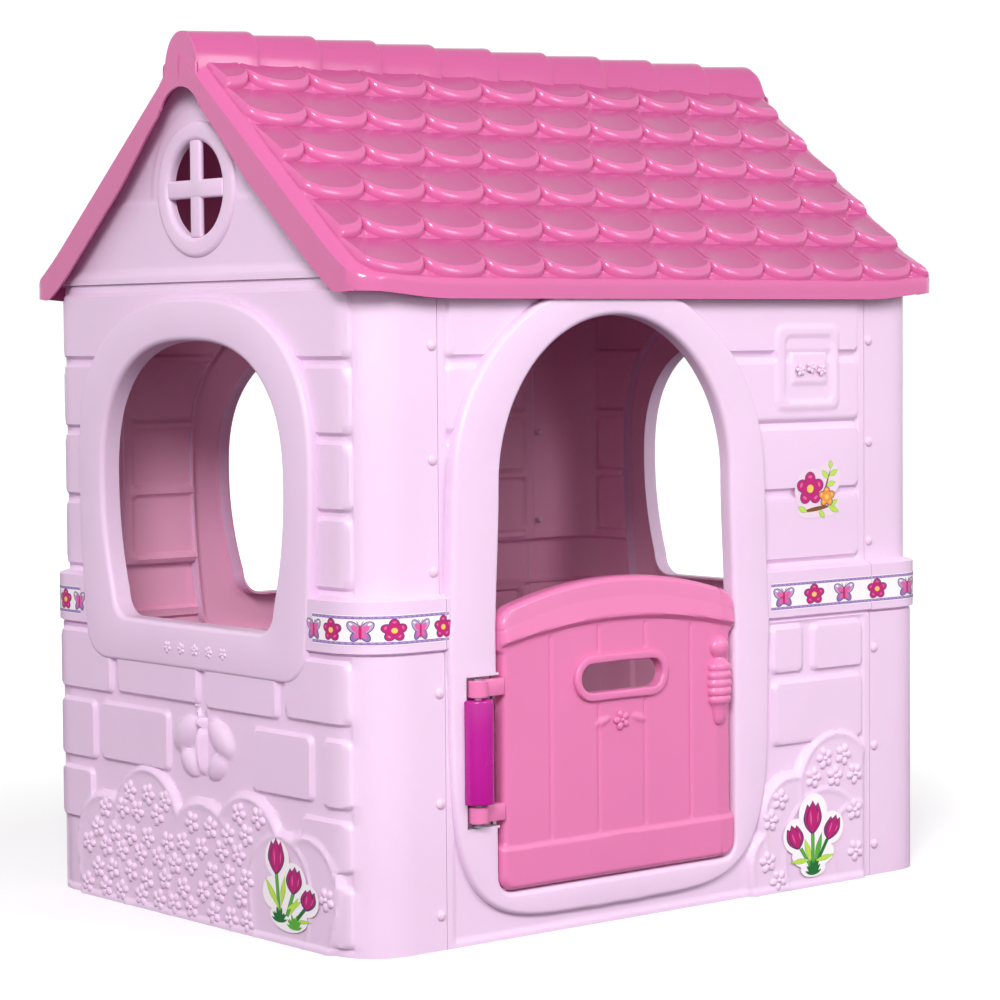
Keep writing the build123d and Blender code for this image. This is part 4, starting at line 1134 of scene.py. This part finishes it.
lugs = []
for low, high in ((333.8, 356.8), (165.2, 188.2)):
    tall = high - low
    eye_ring = [(0, 6.3), (0, 12.6), (1.4, 14.0), (tall - 1.4, 14.0), (tall, 12.6), (tall, 6.3), (0, 6.3)]
    lugs.append(turned("lug", eye_ring, (HINGE_X, HINGE_Y, low)))
    arm = block("lug_arm", HINGE_X + 8, PANEL_LEFT + 5, HINGE_Y - 2, HINGE_Y + 12, low, high)
    bevel(arm, 1.6, 2)
    lugs.append(arm)

blossom = flower_master(15.0)
door_parts = [sheet, rim, handle] + lugs
where = (DOOR_X, -PANEL_FACE - 1.2, 281)
door_parts.append(stamp(blossom, "bloom", 0.3, where, (1, 0, 0), (0, 0, 1), (0, -1, 0)))
bpy.data.objects.remove(blossom, do_unlink=True)
door = join("door_shell", door_parts)
smooth(door)
door_pink = plastic("door_pink", DOOR_PINK, 0.30, grain=0.02, scuff=0.10, coat=0.1, soft=0.08)
settle(door, door_pink, "half_door", "door", "door_panel")

# ---------------------------------------------------------------- hinge
# A magenta barrel, moulded solid and screwed into the pocket from inside;
# a steel pin runs through it and through the door's two lugs.
barrel_low, barrel_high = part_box("hinge_barrel")
low, high = barrel_low.z / MM, barrel_high.z / MM
round_end = [(0, 6.3), (0, 18.6), (0.5, 20.2), (1.6, 21.1), (3.2, 21.4)]
tall = high - low
upper = [(tall - p, r) for p, r in reversed(round_end)]
barrel = turned("barrel_round", round_end + upper + [(0, 6.3)], (HINGE_X, HINGE_Y, low))
seat = block("barrel_seat", HINGE_X - 15.5, HINGE_X + 15.5, HINGE_Y + 12, barrel_high.y / MM - 0.2,
             low + 1, high - 1)
bevel(seat, 1.5, 2)
barrel = join("barrel", [barrel, seat])
smooth(barrel)
magenta = plastic("magenta", (0.46, 0.003, 0.27), 0.22, grain=0.015, shift=0.10, scuff=0.08, coat=0.2)
settle(barrel, magenta, "house", "hinge", "hinge_barrel")

pin_low, pin_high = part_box("hinge_pin")
pin_tall = (pin_high.z - pin_low.z) / MM
rod = [(0, 0.3), (0, 7.2), (0.8, 8.3), (2.6, 8.3), (3, 6)]
rod += [(pin_tall - 1.2, 5.9), (pin_tall - 0.2, 4.9), (pin_tall - 0.2, 0.3)]
pin = turned("pin", rod, (HINGE_X, HINGE_Y, pin_low.z / MM))
smooth(pin)
steel = plastic("steel", (0.55, 0.55, 0.57), 0.24, grain=0.05, shift=0.12, scuff=0.22)
steel.node_tree.nodes["Principled BSDF"].inputs["Metallic"].default_value = 1.0
settle(pin, steel, "house", "pin", "hinge_pin")


def laid(piece, origin, turn):
    # turns a piece made standing at the origin and sets it in its place
    pick(piece)
    piece.rotation_euler = turn
    piece.location = Vector(origin) * MM
    bpy.ops.object.transform_apply(location=True, rotation=True, scale=True)
    return piece


screws = []
screw_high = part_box("hinge_screws")[1]
for level in (low + 30, high - 30):
    body = [(0, 0.3), (0, 2.4), (10.5, 2.4), (10.8, 4.6), (11.6, 5.4), (13.2, 5.4), (13.8, 4.4),
            (13.8, 2.0), (13.0, 1.8), (13.0, 0.3)]
    screw = turned("screw", body, (0, 0, 0))
    screws.append(laid(screw, (HINGE_X, screw_high.y / MM - 14.0, level), (-math.pi / 2, 0, 0)))
screws = join("screws", screws)
smooth(screws)
settle(screws, steel, "house", "screw", "hinge_screws")

# ---------------------------------------------------------------- pegs
# Pink snap pegs hold the mouldings together: a low domed head with a small
# lip, a plain shank and a snap ring.  Six down each seam, four on each
# shelf, four up under each end of the roof.
PEG_Z = (47.0, 196.0, 343.0, WALL_TOP - 389, WALL_TOP - 241, WALL_TOP - 90)
PEG_X = SEAM_X + 9.0


def peg(name, grip_long):
    snap = -grip_long
    profile = [(3.9, 0.3), (3.7, 2.6), (3.0, 4.9), (1.9, 6.4), (0.8, 7.2), (0.0, 7.3), (-0.2, 4.1)]
    profile += [(snap, 4.0), (snap - 0.4, 5.2), (snap - 2.2, 5.2), (snap - 5.0, 3.0), (snap - 5.6, 0.3)]
    return turned(name, profile, (0, 0, 0))


def peg_set(name, pegs, node):
    group = join(name, pegs)
    smooth(group, 50)
    settle(group, wall_peg_pink, "house", "peg", node)


wall_peg_pink = plastic("peg_pink", (0.82, 0.575, 0.75), 0.32, soft=0.1)
for seam, side, node in ((-1, -1, "pegs_front_left"), (1, -1, "pegs_front_right"),
                         (-1, 1, "pegs_back_left"), (1, 1, "pegs_back_right")):
    group = []
    for level in PEG_Z:
        out = HALF_Y + (0 if level > BAND_HIGH else LOW_OUT)
        turn = math.pi / 2 if side < 0 else -math.pi / 2
        group.append(laid(peg("peg", 8.4), (seam * PEG_X, side * out, level), (turn, 0, 0)))
    peg_set(node + "_set", group, node)

SHELF_Y = (-255.0, -90.0, 90.0, 255.0)
ROOF_PEG_Y = (-275.0, -115.0, 115.0, 275.0)
for end, shelf_node, roof_node in ((-1, "gable_pegs_left", "roof_pegs_left"),
                                   (1, "gable_pegs_right", "roof_pegs_right")):
    group = []
    for level in SHELF_Y:
        group.append(laid(peg("peg", 8.4), (end * (GABLE_X - 16), level, WALL_TOP + 4), (0, 0, 0)))
    peg_set(shelf_node + "_set", group, shelf_node)
    group = []
    for level in ROOF_PEG_Y:
        under = CREST - 4 / math.cos(TILT) - RISE * abs(level)
        lean = TILT if level < 0 else -TILT
        fall = 18 * math.cos(TILT) + 4.8
        away = Vector((0, math.sin(lean), -math.cos(lean))) * fall
        spot = (end * (GABLE_X - 17), level + away.y, under + away.z)
        group.append(laid(peg("peg", 11.0), spot, (math.pi + lean, 0, 0)))
    peg_set(roof_node + "_set", group, roof_node)

# ---------------------------------------------------------------- stickers
# Thin glossy printed vinyl: a ribbon of flowers and butterflies between
# dashed lines round the band, two die-cut tulip bunches near the foot and a
# blossom sprig beside the doorway.  Each colour is its own thin shape.
def ink(name, colour, rough=0.30):
    return plastic(name, colour, rough, grain=0.01, shift=0.06, scuff=0.12, coat=0.25)


INKS = [
    ink("vinyl_white", (0.97, 0.90, 0.93)), ink("ink_plum", (0.085, 0.03, 0.13)),
    ink("ink_magenta", (0.52, 0.006, 0.165)), ink("ink_rose", (0.74, 0.12, 0.36)),
    ink("ink_yellow", (0.93, 0.60, 0.12)), ink("ink_violet", (0.30, 0.16, 0.46)),
    ink("ink_lilac", (0.50, 0.36, 0.64)), ink("ink_green", (0.10, 0.42, 0.04)),
    ink("ink_lime", (0.52, 0.74, 0.08)), ink("ink_fir", (0.01, 0.16, 0.03)),
    ink("ink_brown", (0.20, 0.07, 0.02)), ink("ink_orange", (0.85, 0.30, 0.05)),
    ink("vinyl_clear", (0.86, 0.66, 0.80)),
]
WHITE, PLUM, MAGENTA, ROSE, YELLOW, VIOLET, LILAC, GREEN, LIME, FIR, BROWN, ORANGE, CLEAR = range(13)


def oval(cx, cy, rx, ry, turn=0.0, count=26):
    t = np.linspace(0, 2 * math.pi, count, endpoint=False)
    a = math.radians(turn)
    x, y = rx * np.cos(t), ry * np.sin(t)
    return np.stack([cx + x * math.cos(a) - y * math.sin(a), cy + x * math.sin(a) + y * math.cos(a)], 1)


def leaf(x0, y0, x1, y1, width, belly=1.0):
    # pointed leaf from its foot to its tip
    t = np.linspace(0, 1, 14)
    w = width * np.sin(math.pi * t ** belly)
    length = math.hypot(x1 - x0, y1 - y0)
    dx, dy = (x1 - x0) / length, (y1 - y0) / length
    right = np.stack([x0 + dx * length * t - dy * w, y0 + dy * length * t + dx * w], 1)
    left = np.stack([x0 + dx * length * t + dy * w, y0 + dy * length * t - dx * w], 1)
    return np.concatenate([right, left[::-1][1:-1]])


def outlined(shape, fill, layer, line=PLUM, grow=1.0):
    # the shape in its colour over a slightly larger dark one
    mid = shape.mean(0)
    away = shape - mid
    longer = np.hypot(away[:, 0], away[:, 1])[:, None] + 1e-6
    return [(mid + away * (longer + grow) / longer, layer, line), (shape, layer + 0.05, fill)]


def printed(name, shapes, place):
    # fans of thin faces, one per shape, laid on the wall by the place function
    verts, faces, inks, count = [], [], [], 0
    for index, (outline, layer, colour) in enumerate(shapes):
        n = len(outline)
        layer += 0.004 * (index % 11)
        mid = outline.mean(0)
        ring = mid + (outline - mid) * 0.5
        flat = np.concatenate([[mid], ring, outline])
        verts.append(np.stack([flat[:, 0], flat[:, 1], np.full(len(flat), layer)], 1))
        for k in range(n):
            j = (k + 1) % n
            faces.append((count, count + 1 + k, count + 1 + j))
            faces.append((count + 1 + k, count + 1 + n + k, count + 1 + n + j, count + 1 + j))
            inks += [colour, colour]
        count += len(flat)
    flat = np.concatenate(verts)
    spots = place(flat[:, 0], flat[:, 1], flat[:, 2])
    mesh = bpy.data.meshes.new(name)
    mesh.from_pydata([tuple(p) for p in spots * MM], [], faces)
    piece = bpy.data.objects.new(name, mesh)
    bpy.context.collection.objects.link(piece)
    for mat in INKS:
        mesh.materials.append(mat)
    mesh.polygons.foreach_set("material_index", inks)
    return piece


def stick(piece, outward, node):
    # face it outward, then hand it over
    wrong = 0.0
    for poly in piece.data.polygons:
        wrong += poly.area * poly.normal.dot(outward(poly.center))
    if wrong < 0:
        piece.data.flip_normals()
    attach(piece, "house")
    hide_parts(node)


def printed_flower(cu, wide, cz=431.6, size=14.6, centre=YELLOW, petal=MAGENTA, shine=ROSE):
    shapes = []
    for k in range(5):
        a = 2 * math.pi * k / 5 + math.pi / 2
        x, y = 0.58 * size * math.cos(a), 0.58 * size * math.sin(a)
        body = oval(x, y, 0.42 * size, 0.36 * size, math.degrees(a))
        shapes += outlined(body, petal, 0.10, grow=1.1)
        glint = oval(x * 1.22, y * 1.22 + 0.5, 0.16 * size, 0.09 * size, math.degrees(a) + 90)
        shapes.append((glint, 0.20, shine))
    shapes.append((oval(0, 0, 0.25 * size, 0.25 * size), 0.22, centre))
    return [(s * (wide, 1.0) + (cu, cz), layer, colour) for s, layer, colour in shapes]


def printed_butterfly(cu, wide, cz=431.0):
    shapes = []
    for k in (-1, 1):
        shapes += outlined(oval(k * 7.4, 5.2, 8.6, 5.3, k * 48), LILAC, 0.10, grow=1.2)
        shapes += outlined(oval(k * 5.2, -6.0, 7.2, 4.2, -k * 58), VIOLET, 0.11, grow=1.2)
        shapes.append((oval(k * 5.0, 3.4, 5.8, 3.8, k * 42), 0.20, ROSE))
        shapes.append((oval(k * 3.6, -4.6, 4.8, 2.8, -k * 52), 0.20, ROSE))
        shapes.append((oval(k * 10.4, 9.6, 2.2, 1.2, k * 30), 0.21, WHITE))
        shapes.append((leaf(k * 0.6, 8, k * 4.4, 14.4, 0.45), 0.21, PLUM))
    shapes.append((oval(0, -1.4, 1.7, 10.2), 0.24, MAGENTA))
    return [(s * (wide, 1.0) + (cu, cz), layer, colour) for s, layer, colour in shapes]


RIBBON_STRIPES = ((412, 452, 0.0, WHITE), (413.2, 417.0, 0.06, VIOLET), (447.0, 450.8, 0.06, VIOLET))


def ribbon(spans, marks):
    # ground, two dark edges with pale dashes, and the motifs
    shapes = []
    for u0, u1 in spans:
        n = max(1, int(round(abs(u1 - u0) / 4.2)))
        cuts = np.linspace(u0, u1, n + 1)
        for k in range(n):
            p, q = cuts[k], cuts[k + 1]
            for z0, z1, layer, colour in RIBBON_STRIPES:
                shapes.append((np.array([(p, z0), (q, z0), (q, z1), (p, z1)], float), layer, colour))
            if k % 2 == 0:
                for z0 in (414.6, 448.4):
                    dash = [(p, z0), (q + 1, z0 + 0.3), (q + 1, z0 + 1.4), (p, z0 + 1.1)]
                    shapes.append((np.array(dash, float), 0.12, LILAC))
    for kind, u, wide in marks:
        shapes += printed_flower(u, wide) if kind == "f" else printed_butterfly(u, wide)
    return shapes


def side_ribbon(u, z, layer):
    return side_place(u, z, BAND_OUT + 0.12 + layer)


def right_ribbon(u, z, layer):
    return side_ribbon(u, z, layer) * np.array([-1, -1, 1])


END = HALF_Y - CORNER + CORNER * math.pi / 2 + HALF_X - CORNER - SEAM_X - 1.0
corner_marks = [("b", 289, 1.0), ("f", 325.5, 1.0), ("b", 362, 1.0), ("f", 398.5, 1.0), ("b", 435, 1.0)]
front_marks = [(kind, -u, wide) for kind, u, wide in corner_marks]
near_marks = corner_marks + front_marks + [("f", -473, 1.0)]
left_strip = printed("ribbon_left", ribbon(((-END, -286), (286, END)), near_marks), side_ribbon)
stick(left_strip, lambda c: Vector((c.x + 0.3, c.y, 0)), "band_sticker_left")
far_marks = [("f", 467, 1.4), ("b", 402, 1.3), ("f", 343, 1.1), ("b", 303, 1.0)] + front_marks
right_strip = printed("ribbon_right", ribbon(((-END, -286), (286, END)), far_marks), right_ribbon)
stick(right_strip, lambda c: Vector((c.x - 0.3, c.y, 0)), "band_sticker_right")
door_marks = [("b", 222, 1.4), ("f", 285, 1.4), ("b", 348, 1.4)]
front_strip = printed(
    "ribbon_front", ribbon(((-SEAM_X + 1, -404), (196, SEAM_X - 1)), door_marks),
    lambda x, z, layer: front_place(x, z, BAND_OUT + 0.12 + layer))
stick(front_strip, lambda c: Vector((0, -1, 0)), "band_sticker_front")
back_strip = printed(
    "ribbon_back", ribbon(((-SEAM_X + 1, -287), (287, SEAM_X - 1)),
                          [("f", -325, 1.0), ("b", -365, 1.0), ("f", 325, 1.0), ("b", 365, 1.0)]),
    lambda x, z, layer: back_place(x, z, BAND_OUT + 0.12 + layer))
stick(back_strip, lambda c: Vector((0, 1, 0)), "band_sticker_back")


def tulip_head(cx, cy, w, h, turn=0.0):
    # three pointed petals, the middle one in front
    a = math.radians(turn)
    shapes = []
    for k, (dx, top, wide) in enumerate(((-0.42, 0.80, 0.62), (0.42, 0.84, 0.62), (0.0, 1.0, 0.66))):
        body = leaf(dx * w * 0.3, -h, dx * w * 1.6, h * top, wide * w, 0.86)
        shapes += outlined(body, MAGENTA, 0.16 + 0.07 * k, grow=1.3)
    shapes.append((leaf(-0.20 * w, -h * 0.55, -0.28 * w, h * 0.45, 0.10 * w), 0.40, ROSE))
    shapes.append((leaf(0.62 * w, -h * 0.45, 0.72 * w, h * 0.35, 0.08 * w), 0.40, ROSE))
    spin = np.array([(math.cos(a), math.sin(a)), (-math.sin(a), math.cos(a))])
    return [(s @ spin + (cx, cy), layer, colour) for s, layer, colour in shapes]


def stalk(x0, y0, x1, y1, wide=1.3):
    length = math.hypot(x1 - x0, y1 - y0)
    n = np.array([-(y1 - y0), x1 - x0]) / length * wide
    ends = np.array([(x0, y0), (x1, y1)], float)
    line = np.array([ends[0] - n * 1.35, ends[1] - n * 1.35, ends[1] + n * 1.35, ends[0] + n * 1.35])
    core = np.array([ends[0] - n, ends[1] - n, ends[1] + n, ends[0] + n])
    return [(line, 0.08, FIR), (core, 0.11, GREEN)]


def tuft(cx, cy, reach, colour):
    shapes = []
    for k in range(9):
        a = math.pi * (0.06 + 0.11 * k)
        tip = (cx + reach * math.cos(a), cy + reach * (1.9 if k % 2 else 1.4) * math.sin(a))
        shapes.append((leaf(cx, cy - 3.0, tip[0], tip[1], 1.5), 0.42 + 0.01 * k, colour))
    return shapes


def ground(*ovals):
    return [(oval(*o), 0.01 * k, WHITE) for k, o in enumerate(ovals)]


bunch = ground((-13, 32, 13, 23), (4, 9, 14, 22), (19, -9, 12, 19), (-1, -33, 20, 17), (-18, -8, 11, 19),
               (-2, -8, 18, 30))
bunch += stalk(-14, 16, -11, -30) + stalk(4, -4, -3, -32) + stalk(17, -18, 6, -36)
bunch += outlined(leaf(-11, -26, -26, 8, 2.6), LIME, 0.12, GREEN, 0.5)
bunch += outlined(leaf(-9, -22, -5, 14, 2.2), LIME, 0.12, GREEN, 0.5)
bunch += outlined(leaf(-3, -24, 12, -12, 2.4), LIME, 0.12, GREEN, 0.5)
bunch += outlined(leaf(0, -30, 9, -8, 1.8), LIME, 0.12, GREEN, 0.5)
bunch += outlined(leaf(6, -36, 22, -33, 1.8), LIME, 0.12, GREEN, 0.5)
bunch += tulip_head(-14, 35, 7.6, 20) + tulip_head(5, 11, 7.2, 15, -4) + tulip_head(20, -8, 6.8, 12, -10)
bunch += tuft(-11, -38, 8.5, FIR) + tuft(5, -43, 8.5, GREEN)
side_tulips = printed("tulips_side", bunch, lambda x, y, layer: side_place(
    -232 - x * 2.12, 77 + y * 1.17, LOW_OUT - 2.2 + 10.2 + layer))
stick(side_tulips, lambda c: Vector((-1, 0, 0)), "tulip_sticker_side")

bunch = ground((-2, 22, 15, 22), (-20, 0, 13, 19), (17, 4, 13, 18), (-2, -22, 22, 16), (-2, -38, 13, 9),
               (-2, 0, 20, 26))
bunch += stalk(-2.5, 2, -2, -36) + stalk(-15, -14, -4, -36) + stalk(13, -8, 0, -36)
bunch += outlined(leaf(-6, -28, -25, -28, 2.6), LIME, 0.12, GREEN, 0.5)
bunch += outlined(leaf(0, -30, 20, -26, 2.4), LIME, 0.12, GREEN, 0.5)
bunch += outlined(leaf(-4, -30, -11, -4, 2.4), LIME, 0.12, GREEN, 0.5)
bunch += outlined(leaf(0, -32, 7, 0, 2.4), GREEN, 0.12, FIR, 0.5)
bunch += tulip_head(-21, -1, 7.4, 13, 16) + tulip_head(18, 4, 7.0, 12.5, -18)
bunch += tulip_head(-2.5, 18, 8.2, 17)
bunch += tuft(-2, -42, 8.5, FIR)
front_tulips = printed("tulips_front", bunch, lambda x, y, layer: front_place(
    282 + x * 2.0, 79 + y * 1.36, LOW_OUT - 2.2 + 10.2 + layer))
stick(front_tulips, lambda c: Vector((0, -1, 0)), "tulip_sticker_front")

sprig = [(shape, layer, CLEAR) for shape, layer, colour in ground(
    (-8, 2, 32, 32), (22, 18, 22, 24), (22, -20, 20, 18), (-10, -28, 26, 12))]
sprig += [(leaf(-30, -30, 30, -22, 3.2), 0.10, BROWN), (leaf(6, -26, 26, 34, 1.5), 0.10, BROWN)]
for x0, y0, x1, y1 in ((18, 8, 34, 12), (21, 18, 10, 30), (23, 22, 38, 30), (25, 32, 26, 44),
                       (20, -24, 38, -14), (22, -24, 40, -32), (4, -28, 14, -40), (-18, -30, -34, -22)):
    sprig += outlined(leaf(x0, y0, x1, y1, 3.6), LIME, 0.13, GREEN, 0.6)
blooms = printed_flower(0, 1.0, 0, 24.0)
sprig += [(s + (-12, 4), layer + 0.16, colour) for s, layer, colour in blooms]
blooms = printed_flower(0, 1.0, 0, 14.0, YELLOW, ORANGE, YELLOW)
sprig += [(s + (18, -9), layer + 0.20, colour) for s, layer, colour in blooms]
sprig_piece = printed(
    "sprig", sprig, lambda x, y, layer: front_place(302 + x * 1.15, 582 + y, 4.3 + layer))
stick(sprig_piece, lambda c: Vector((0, -1, 0)), "sprig_sticker")

# ---------------------------------------------------------------- studio
# Pale seamless floor, a soft key from the front right, a broad fill and a
# camera on a long lens at standing distance.
clear_selection()
bpy.ops.mesh.primitive_plane_add(size=60.0, location=(0, 0, 0))
floor = bpy.context.object
floor.name = "floor"
floor_mat = bpy.data.materials.new("floor_paper")
floor_mat.use_nodes = True
tree = floor_mat.node_tree
paper = tree.nodes["Principled BSDF"]
paper.inputs["Roughness"].default_value = 0.8
paper.inputs["Emission Color"].default_value = (1, 1, 1, 1)
seen = tree.nodes.new("ShaderNodeLightPath")
tone = tree.nodes.new("ShaderNodeMix")
tone.data_type = "RGBA"
tone.inputs["A"].default_value = (0.13, 0.11, 0.13, 1)
tone.inputs["B"].default_value = (0.90, 0.90, 0.90, 1)
glow = tree.nodes.new("ShaderNodeMath")
glow.operation = "MULTIPLY"
glow.inputs[1].default_value = 1.0
tree.links.new(seen.outputs["Is Camera Ray"], tone.inputs["Factor"])
tree.links.new(tone.outputs["Result"], paper.inputs["Base Color"])
reach = tree.nodes.new("ShaderNodeVectorMath")
reach.operation = "LENGTH"
ground_place = tree.nodes.new("ShaderNodeTexCoord")
lift = tree.nodes.new("ShaderNodeMapRange")
lift.inputs["From Min"].default_value = 0.9
lift.inputs["From Max"].default_value = 3.2
lift.inputs["To Min"].default_value = 0.20
lift.inputs["To Max"].default_value = 0.75
tree.links.new(ground_place.outputs["Object"], reach.inputs[0])
tree.links.new(reach.outputs["Value"], lift.inputs["Value"])
tree.links.new(seen.outputs["Is Camera Ray"], glow.inputs[0])
tree.links.new(lift.outputs["Result"], glow.inputs[1])
tree.links.new(glow.outputs["Value"], paper.inputs["Emission Strength"])
floor.data.materials.append(floor_mat)

world = bpy.data.worlds.new("studio")
world.use_nodes = True
tree = world.node_tree
sky = tree.nodes["Background"]
place = tree.nodes.new("ShaderNodeTexCoord")
split = tree.nodes.new("ShaderNodeSeparateXYZ")
fade = tree.nodes.new("ShaderNodeMapRange")
fade.inputs["From Min"].default_value = 0.0
fade.inputs["From Max"].default_value = 0.9
fade.inputs["To Min"].default_value = 1.22
fade.inputs["To Max"].default_value = 0.36
seen = tree.nodes.new("ShaderNodeLightPath")
pure = tree.nodes.new("ShaderNodeMix")
pure.inputs["B"].default_value = 1.05
tree.links.new(place.outputs["Generated"], split.inputs["Vector"])
tree.links.new(split.outputs["Z"], fade.inputs["Value"])
tree.links.new(fade.outputs["Result"], pure.inputs["A"])
tree.links.new(seen.outputs["Is Camera Ray"], pure.inputs["Factor"])
tree.links.new(pure.outputs["Result"], sky.inputs["Strength"])
sky.inputs["Color"].default_value = (1.0, 1.0, 1.0, 1)
bpy.context.scene.world = world


def lamp(name, where, size, power):
    data = bpy.data.lights.new(name, "AREA")
    data.size = size
    data.energy = power
    obj = bpy.data.objects.new(name, data)
    bpy.context.collection.objects.link(obj)
    obj.location = where
    aim = Vector((0, 0, 0.6)) - Vector(where)
    obj.rotation_euler = aim.to_track_quat("-Z", "Y").to_euler()


lamp("key", (1.6, -5.0, 3.4), 2.2, 108)
lamp("side", (-4.0, -3.9, 3.5), 1.7, 250)

camera_data = bpy.data.cameras.new("camera")
camera_data.sensor_width = 36.0
camera_data.lens = 107.9
camera = bpy.data.objects.new("camera", camera_data)
bpy.context.collection.objects.link(camera)
yaw, pitch, roll = (math.radians(v) for v in (39.88, 3.13, -0.47))
ahead = Vector((math.sin(yaw) * math.cos(pitch), math.cos(yaw) * math.cos(pitch), -math.sin(pitch)))
right = Vector((math.cos(yaw), -math.sin(yaw), 0))
above = right.cross(ahead)
tilted_right = right * math.cos(roll) + above * math.sin(roll)
tilted_above = above * math.cos(roll) - right * math.sin(roll)
turn = Matrix((tilted_right, tilted_above, -ahead)).transposed()
camera.matrix_world = Matrix.Translation(Vector((-2.8773, -3.4649, 0.8133))) @ turn.to_4x4()
camera_data.clip_end = 200
bpy.context.scene.camera = camera
bpy.context.scene.view_settings.view_transform = "Standard"
